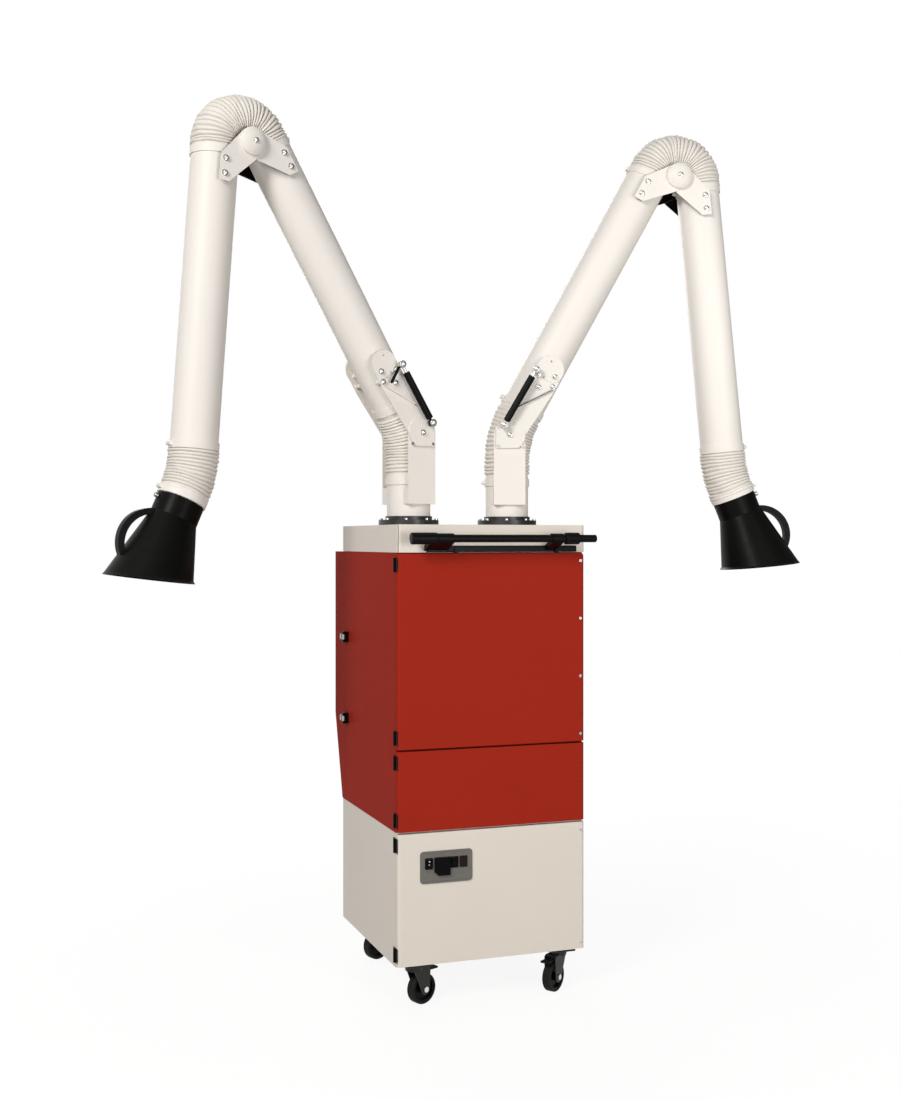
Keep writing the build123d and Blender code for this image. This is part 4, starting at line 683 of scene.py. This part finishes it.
# The |y| of the studs' nuts, of the lever and of the nut on the domed elbow cap
STUD_FACE = 121.3 * MM
LEVER_FACE = 101.2 * MM
CAP_SEAT = THIRD_FACE + 19.9 * MM

# The elbow plates reach this far down from the inner tube's end
ELBOW_PLATE_REACH = 250 * MM

# A cap nut, and the lever from stud to bracket
NUT_RADIUS = 9.2 * MM
NUT_HEIGHT = 6.2 * MM
WASHER_RADIUS = 10.5 * MM
WASHER_HEIGHT = 1.1 * MM
DOME_RADIUS = 6.9 * MM
DOME_HEIGHT = 4.4 * MM
DOME_SINK = 0.2 * MM
LEVER_RADIUS = 5 * MM
LEVER_THICKNESS = 3 * MM

# Margin of the tests that pick faces, and thickness of a printed bar
SKIN = 0.1 * MM

# Spots of another finish: their radii, and the |y| that a strut's eye, a stud and the cap's pin begin at
SCREW_SPOT = 5.6 * MM
BOLT_SPOT = 8 * MM
EYE_SPOT = 9.5 * MM
STUD_SPOT = 14 * MM
EYE_START = 90 * MM
STUD_START = 92 * MM
CAP_PIN_START = THIRD_FACE + 19.3 * MM
FOLD_WIDTH = 2 * MM


def local(x, z):
    return x * MM, z * MM


# Places (x, z) in the frames of the foot, the inner tube or the outer tube, and the |y| that a nut
# stands on
UPPER_STUD = local(-30.6, 241.2)
FOOT_BOLTS = [(local(0, 0), THIRD_FACE), (local(-23, 32), STUD_FACE)]
COVER_SCREWS = [local(-40, -38), local(42, -39)]
BRACKET_BOLTS = [
    (local(40.6, 254), SECOND_FACE + PLATE), (local(51.4, 220), SECOND_FACE),
    (local(-14.9, 232.6), SECOND_FACE + PLATE), (local(8, 195), SECOND_FACE),
    (UPPER_STUD, STUD_FACE),
]
ELBOW_BOLTS = [local(-87, 72), local(-87, 119)]
FOLD_ENDS = (local(55.8, 209.8), local(-20.4, 99.5))
LEVER_ENDS = (UPPER_STUD, local(29.0, 207.0))


def repaint_spots(side, piece, frame_name, finish, spots):
    # Spots are (x, z), radius, and the least |y|, all in the named frame of the arm.
    back = ARMS[side][frame_name].inverted()

    def chosen(face):
        centre = back @ face.center
        for (x, z), radius, least in spots:
            if abs(centre.y) > least and math.hypot(centre.x - x, centre.z - z) < radius:
                return True
        return False

    repaint(side + "_" + piece, finish, chosen)


def bolt_spots(bolts):
    spots = []
    for place, face in bolts:
        stud = face == STUD_FACE
        spots.append((place, STUD_SPOT if stud else BOLT_SPOT, STUD_START if stud else face + SKIN))
    return spots


def paint_arm_metal(side):
    spots = bolt_spots(FOOT_BOLTS) + [(place, SCREW_SPOT, THIRD_FACE + SKIN) for place in COVER_SCREWS]
    repaint_spots(side, "foot", "foot", CHROME, spots)
    spots = bolt_spots(BRACKET_BOLTS)
    for x, z in ELBOW_BOLTS:
        spots.append(((x + ELBOW_OFFSET, INNER_LENGTH - z), BOLT_SPOT, SECOND_FACE + SKIN))
    repaint_spots(side, "inner_brackets", "inner", CHROME, spots)
    spots = [(place, BOLT_SPOT, SECOND_FACE + SKIN) for place in ELBOW_BOLTS]
    repaint_spots(side, "outer_plates", "outer", CHROME, spots)
    repaint_spots(side, "elbow_caps", "outer", CHROME, [((0.0, 0.0), BOLT_SPOT, CAP_PIN_START)])
    repaint_spots(side, "strut_rods", "inner", BLACK, [(UPPER_STUD, EYE_SPOT, EYE_START)])


def shade_elbow_insides(side):
    # The elbow plates' inner faces, between the two tubes, get near-black painted shade.
    for piece, frame_name in (("inner_brackets", "inner"), ("outer_plates", "outer")):
        back = ARMS[side][frame_name].inverted()
        turn = back.to_3x3()

        def chosen(face):
            centre = back @ face.center
            if frame_name == "inner" and centre.z < INNER_LENGTH - ELBOW_PLATE_REACH:
                return False
            return (turn @ face.normal).y * centre.y < -0.5 * abs(centre.y)

        repaint(side + "_" + piece, SHADE, chosen)


def make_cap_nut():
    # A washer, a hexagon and a dome, standing on the plane z = 0.
    washer = start_disc(48, WASHER_RADIUS)
    extrude(WASHER_HEIGHT)
    bpy.ops.transform.resize(value=(0.96, 0.96, 1), center_override=(0, 0, WASHER_HEIGHT))
    bpy.ops.object.mode_set(mode="OBJECT")
    nut = start_disc(6, NUT_RADIUS)
    extrude(NUT_HEIGHT)
    bpy.ops.mesh.select_all(action="SELECT")
    bpy.ops.mesh.bevel(offset=BEVEL, segments=2)
    bpy.ops.object.mode_set(mode="OBJECT")
    dome = start_disc(32, DOME_RADIUS)
    bpy.ops.transform.translate(value=(0, 0, NUT_HEIGHT - DOME_SINK))
    before = 1.0
    for share in (0.25, 0.5, 0.72, 0.88, 0.97):
        extrude((math.sin(share * math.pi / 2) - math.sin((share - 0.2) * math.pi / 2)) * DOME_HEIGHT)
        wanted = math.cos(share * math.pi / 2)
        bpy.ops.transform.resize(value=(wanted / before, wanted / before, 1))
        before = wanted
    bpy.ops.object.mode_set(mode="OBJECT")
    clear_selection()
    for item in (washer, dome, nut):
        item.select_set(True)
    bpy.context.view_layer.objects.active = nut
    bpy.ops.object.join()
    start_edit()
    end_edit()
    bpy.ops.object.shade_smooth_by_angle(angle=METAL_SMOOTH)
    nut.data.materials.append(CHROME)
    return nut


def place_nuts(side, mesh, chance):
    # Each place has a nut on both sides of the arm. The |y| that it stands on is given for -y, then for +y.
    foot, inner, outer = (f"{side}_{name}_link" for name in ("foot", "inner", "outer"))
    wanted = [("foot", *place, face, face, foot) for place, face in FOOT_BOLTS]
    wanted += [("inner", *place, face, face, inner) for place, face in BRACKET_BOLTS]
    for x, z in ELBOW_BOLTS:
        wanted.append(("inner", x + ELBOW_OFFSET, INNER_LENGTH - z, THIRD_FACE, SECOND_FACE, inner))
        wanted.append(("outer", x, z, SECOND_FACE, THIRD_FACE, outer))
    wanted.append(("outer", 0.0, 0.0, CAP_SEAT, CAP_SEAT, inner))
    count = 0
    for frame_name, x, z, minus, plus, body in wanted:
        for way, level in ((-1, minus), (1, plus)):
            count += 1
            turn = Matrix.Rotation(math.radians(-90 * way), 4, "X")
            spin = Matrix.Rotation(chance.uniform(0, math.pi), 4, "Z")
            placing = ARMS[side][frame_name] @ Matrix.Translation((x, way * level, z)) @ turn @ spin
            copy = bpy.data.objects.new(f"{side}_cap_nut_{count}", mesh.copy())
            bpy.context.scene.collection.objects.link(copy)
            copy.data.transform(placing)
            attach(copy, body)


def make_lever(side):
    # A flat black bar from the strut's upper stud to the bracket, on the arm's own +y side.
    first, last = (Vector((x, LEVER_FACE, z)) for x, z in LEVER_ENDS)
    lever = start_disc(24, LEVER_RADIUS)
    lever.name = side + "_strut_lever_rear"
    bpy.ops.mesh.duplicate_move(TRANSFORM_OT_translate={"value": ((last - first).length, 0, 0)})
    bpy.ops.mesh.select_all(action="SELECT")
    bpy.ops.mesh.convex_hull()
    bpy.ops.mesh.select_all(action="SELECT")
    bpy.ops.mesh.dissolve_limited(angle_limit=math.radians(1))
    bpy.ops.mesh.select_all(action="SELECT")
    extrude(LEVER_THICKNESS)
    bpy.ops.mesh.select_all(action="SELECT")
    bpy.ops.mesh.normals_make_consistent(inside=False)
    bpy.ops.mesh.bevel(offset=BEVEL, segments=2)
    bpy.ops.object.mode_set(mode="OBJECT")
    along = (last - first).normalized()
    up = Vector((0, 1, 0))
    turn = Matrix((along, up.cross(along), up)).transposed().to_4x4()
    turn.translation = first
    lever.data.transform(ARMS[side]["inner"] @ turn)
    bpy.ops.object.shade_smooth_by_angle(angle=METAL_SMOOTH)
    lever.data.materials.append(BLACK)
    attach(lever, side + "_inner_link")


def shade_fold_edge(side):
    # The folded edge of the bracket on the arm's own -y side gets dark grey painted shade.
    (x1, z1), (x2, z2) = FOLD_ENDS
    run = Vector((x2 - x1, z2 - z1))
    length = run.length
    back = ARMS[side]["inner"].inverted()

    def chosen(face):
        centre = back @ face.center
        if centre.y > -(SECOND_FACE + 2 * SKIN):
            return False
        away = Vector((centre.x - x1, centre.z - z1))
        along = away.dot(run) / length
        across = abs(away.x * run.y - away.y * run.x) / length
        return -FOLD_WIDTH < along < length + FOLD_WIDTH and across < FOLD_WIDTH + 2 * SKIN

    repaint(side + "_inner_brackets", FOLD_SHADE, chosen)


def make_nuts():
    pattern = make_cap_nut()
    chance = random.Random(5)
    for side in ("left", "right"):
        place_nuts(side, pattern.data, chance)
    bpy.data.objects.remove(pattern)


# Limits that pick single faces of the cabinet and casters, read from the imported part
DOOR_FRONT = -335 * MM
PANEL_FRONT = -338 * MM
HINGE_SIDE = -300 * MM
HINGE_LEAF_LIMIT = 80 * MM
SCREW_SIDE = 250 * MM
INDICATOR_LEFT = -120 * MM
INDICATOR_LOW = 449 * MM
CARTRIDGE_CAP_BACK = -284 * MM
CARTRIDGE_SEAL_FRONT = 187 * MM
WHEEL_HUB = 40.5 * MM
AXLE_NUT = 10 * MM
FORK_OUTSIDE = 22.5 * MM


def paint_cabinet_metal():
    repaint("control_panel", SWITCH, lambda face: face.center.y < PANEL_FRONT - SKIN)
    repaint("control_panel", LAMP, lambda face: face.center.y < PANEL_FRONT - SKIN
            and face.center.x > INDICATOR_LEFT and face.center.z > INDICATOR_LOW)
    for name in ("upper_door", "base_door"):
        repaint(name, CHROME, lambda face: face.center.y < DOOR_FRONT - SKIN / 2
                and face.center.x > SCREW_SIDE)
    for name in ("upper_door", "dust_door", "base_door"):
        repaint_parts(name, BLACK, lambda low, high: high.x < HINGE_SIDE
                      and high.z - low.z < HINGE_LEAF_LIMIT)
    # Of each cartridge the pleated pack keeps its cloth: the end cap is sheet, the ring a rubber seal.
    repaint("filter_cartridges", SHEET_STEEL, lambda face: face.center.y < CARTRIDGE_CAP_BACK)
    repaint("filter_cartridges", TREAD, lambda face: face.center.y > CARTRIDGE_SEAL_FRONT)
    for place in ("front_left", "front_right", "rear_left", "rear_right"):
        roll = joints["roll_" + place]
        middle = Vector(roll["pos_m"])
        axle = Vector(roll["axis"]).normalized()

        def across_axle(face):
            arm = face.center - middle
            return (arm - axle * arm.dot(axle)).length

        repaint("wheel_" + place, BLACK, lambda face: across_axle(face) < WHEEL_HUB)
        repaint("fork_" + place, CHROME, lambda face: across_axle(face) < AXLE_NUT
                and abs((face.center - middle).dot(axle)) > FORK_OUTSIDE)


# Marks on the panel and the first rocker
DOT_THICKNESS = 0.15 * MM
FIGURE_THICKNESS = 0.08 * MM
ROCKER_X = -223 * MM
PANEL_X = -163 * MM
RULE_SIZE = (150 * MM, 0.8 * MM)
FIGURE_Z = 494.5 * MM
FIGURE_XS = (("1", ROCKER_X), ("2", -178 * MM), ("3", -136 * MM), ("4", -105 * MM))


def surface_point(node, x, z):
    # Where a line from the front first meets a CAD node, and which way that face looks.
    mesh = nodes[node].data
    faces = [face.vertices for face in mesh.polygons]
    tree = BVHTree.FromPolygons([vertex.co for vertex in mesh.vertices], faces)
    return tree.ray_cast(Vector((x, -1.0, z)), Vector((0, 1, 0)))[:2]


def add_dot(name, x, z, radius):
    # A thin printed spot on the tilted face of the first rocker.
    place, normal = surface_point("rocker_1", x, z)
    mark = start_disc(24, radius)
    mark.name = name
    extrude(DOT_THICKNESS)
    bpy.ops.transform.resize(value=(0.97, 0.97, 1), center_override=(0, 0, DOT_THICKNESS))
    end_edit()
    sideways = Vector((0, 0, 1)).cross(normal).normalized()
    placing = Matrix((sideways, normal.cross(sideways), normal)).transposed().to_4x4()
    placing.translation = place
    mark.data.transform(placing)
    mark.data.materials.append(MARK)
    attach(mark, "rocker_1_body")


def lay_on_panel(piece, name, x, z):
    # Stands a flat piece up on the panel plate, which belongs to the base door.
    piece.name = name
    placing = Matrix.Rotation(math.radians(90), 4, "X")
    placing.translation = surface_point("control_panel", x, z)[0]
    piece.data.transform(placing)
    piece.data.materials.clear()
    piece.data.materials.append(FAINT)
    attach(piece, "base_door_body")


def add_print(name, words, x, z, height):
    clear_selection()
    bpy.ops.object.text_add(location=(0, 0, 0))
    figures = bpy.context.object.data
    figures.body = words
    figures.align_x = "CENTER"
    figures.align_y = "CENTER"
    figures.size = height
    figures.extrude = FIGURE_THICKNESS
    bpy.ops.object.convert(target="MESH")
    lay_on_panel(bpy.context.object, name, x, z)


def add_rule(name, x, z, width, height):
    clear_selection()
    bpy.ops.mesh.primitive_plane_add(size=1, location=(0, 0, 0))
    start_edit()
    bpy.ops.transform.resize(value=(width, height, 1))
    extrude(SKIN)
    end_edit()
    lay_on_panel(bpy.context.object, name, x, z)


def mark_panel():
    add_dot("rocker_dot_upper", ROCKER_X, 476.5 * MM, 2.3 * MM)
    add_dot("rocker_dot_lower", ROCKER_X, 466.0 * MM, 1.7 * MM)
    add_rule("panel_rule_top", PANEL_X, 501.5 * MM, *RULE_SIZE)
    add_rule("panel_rule_bottom", PANEL_X, 410.5 * MM, *RULE_SIZE)
    for figure, x in FIGURE_XS:
        add_print("panel_figure_" + figure, figure, x, FIGURE_Z, 7 * MM)
    add_print("panel_word_on_off", "ON  OFF", ROCKER_X, 441.0 * MM, 5 * MM)
    add_print("panel_word_test", "0   I   II", -125 * MM, 433.0 * MM, 6 * MM)


# Floor, sky and lamps: the floor fades to white over a length that begins this far from the middle, and
# the sky lights matt faces with this strength
NEAR_FLOOR = 1.0
FADE_LENGTH = 3.5
SKY_FILL = 0.22
LAMP_WHITE = (1.0, 0.985, 0.965)


def make_stage():
    # A pale floor that fades to white away from the part, and mirrors darker on the right.
    clear_selection()
    bpy.ops.mesh.primitive_plane_add(size=40, location=(0, 0, 0))
    floor = bpy.context.object
    floor.name = "studio_floor"
    material, tree, shader = start_material("studio_floor_white")
    shader.inputs["Base Color"].default_value = (0.46, 0.45, 0.44, 1)
    shader.inputs["Roughness"].default_value = 0.9
    place = tree.nodes.new("ShaderNodeTexCoord").outputs["Object"]
    reach = tree.nodes.new("ShaderNodeVectorMath")
    reach.operation = "LENGTH"
    tree.links.new(place, reach.inputs[0])
    past = number(tree, "SUBTRACT", reach.outputs["Value"], NEAR_FLOOR)
    away = limited(tree, number(tree, "DIVIDE", past, FADE_LENGTH))
    glow = tree.nodes.new("ShaderNodeEmission")
    glow.inputs["Color"].default_value = (1, 1, 1, 1)
    strength = number(tree, "SUBTRACT", 1.2, number(tree, "MULTIPLY", away, 0.2))
    tree.links.new(strength, glow.inputs["Strength"])
    path = tree.nodes.new("ShaderNodeLightPath")
    near = number(tree, "ADD", 0.75, number(tree, "MULTIPLY", away, 0.25))
    seen = number(tree, "MULTIPLY", path.outputs["Is Camera Ray"], near)
    side = tree.nodes.new("ShaderNodeSeparateXYZ")
    tree.links.new(place, side.inputs[0])
    shaded = tree.nodes.new("ShaderNodeMapRange")
    shaded.inputs["From Max"].default_value = 2.5
    shaded.inputs["To Min"].default_value = 0.9
    shaded.inputs["To Max"].default_value = 0.2
    tree.links.new(side.outputs["X"], shaded.inputs["Value"])
    mirrored = number(tree, "MULTIPLY", path.outputs["Is Glossy Ray"], shaded.outputs[0])
    seen = number(tree, "MAXIMUM", seen, mirrored)
    seen = number(tree, "MAXIMUM", seen, path.outputs["Is Transmission Ray"])
    mix = tree.nodes.new("ShaderNodeMixShader")
    tree.links.new(seen, mix.inputs[0])
    tree.links.new(shader.outputs[0], mix.inputs[1])
    tree.links.new(glow.outputs[0], mix.inputs[2])
    tree.links.new(mix.outputs[0], tree.nodes["Material Output"].inputs[0])
    floor.data.materials.append(material)


def make_world():
    # White to the camera, weak as a light, and darker on the right in reflections.
    world = bpy.data.worlds.new("studio_sky")
    world.use_nodes = True
    tree = world.node_tree
    sky = tree.nodes["Background"]
    sky.inputs["Color"].default_value = (1, 1, 1, 1)
    way = tree.nodes.new("ShaderNodeSeparateXYZ")
    tree.links.new(tree.nodes.new("ShaderNodeTexCoord").outputs["Generated"], way.inputs[0])
    shaded = tree.nodes.new("ShaderNodeMapRange")
    shaded.inputs["From Min"].default_value = -0.1
    shaded.inputs["From Max"].default_value = 0.6
    shaded.inputs["To Min"].default_value = 1.0
    shaded.inputs["To Max"].default_value = 0.15
    tree.links.new(way.outputs["X"], shaded.inputs["Value"])
    path = tree.nodes.new("ShaderNodeLightPath")
    mirrored = number(tree, "MULTIPLY", path.outputs["Is Glossy Ray"], shaded.outputs[0])
    seen = number(tree, "MAXIMUM", path.outputs["Is Camera Ray"], mirrored)
    seen = number(tree, "MAXIMUM", seen, path.outputs["Is Transmission Ray"])
    plain = number(tree, "MULTIPLY", path.outputs["Is Diffuse Ray"], SKY_FILL)
    tree.links.new(number(tree, "MAXIMUM", seen, plain), sky.inputs["Strength"])
    bpy.context.scene.world = world


def add_lamp(name, place, target, size, power, colour=(1, 1, 1), spread=180):
    lamp = bpy.data.lights.new(name, "AREA")
    lamp.shape = "RECTANGLE"
    lamp.size, lamp.size_y = size
    lamp.energy = power
    lamp.color = colour
    lamp.spread = math.radians(spread)
    item = bpy.data.objects.new(name, lamp)
    bpy.context.scene.collection.objects.link(item)
    item.location = place
    item.rotation_euler = (Vector(target) - Vector(place)).to_track_quat("-Z", "Y").to_euler()


def make_lamps():
    add_lamp("key_lamp", (-5.2, -4.6, 5.0), (0, 0, 1.8), (2.2, 2.2), 354, LAMP_WHITE)
    add_lamp("front_lamp", (1.0, -4.6, 1.4), (0.1, -0.3, 1.0), (1.6, 1.6), 68, LAMP_WHITE)
    add_lamp("right_lamp", (1.6, -2.4, 2.5), (0.85, -0.2, 2.35), (0.6, 0.6), 1.5, LAMP_WHITE, 55)
    add_lamp("back_lamp", (0.3, 4.8, 3.6), (0, 0, 1.4), (2.5, 2.5), 90)


paint_nodes()
paint_cabinet_metal()
mark_panel()
for side, seed in (("left", 11), ("right", 47)):
    make_hoses(side, seed)
    shade_elbow_insides(side)
    paint_arm_metal(side)
    make_lever(side)
    shade_fold_edge(side)
make_nuts()
make_stage()
make_world()
make_lamps()
bpy.context.scene.view_settings.view_transform = "Standard"
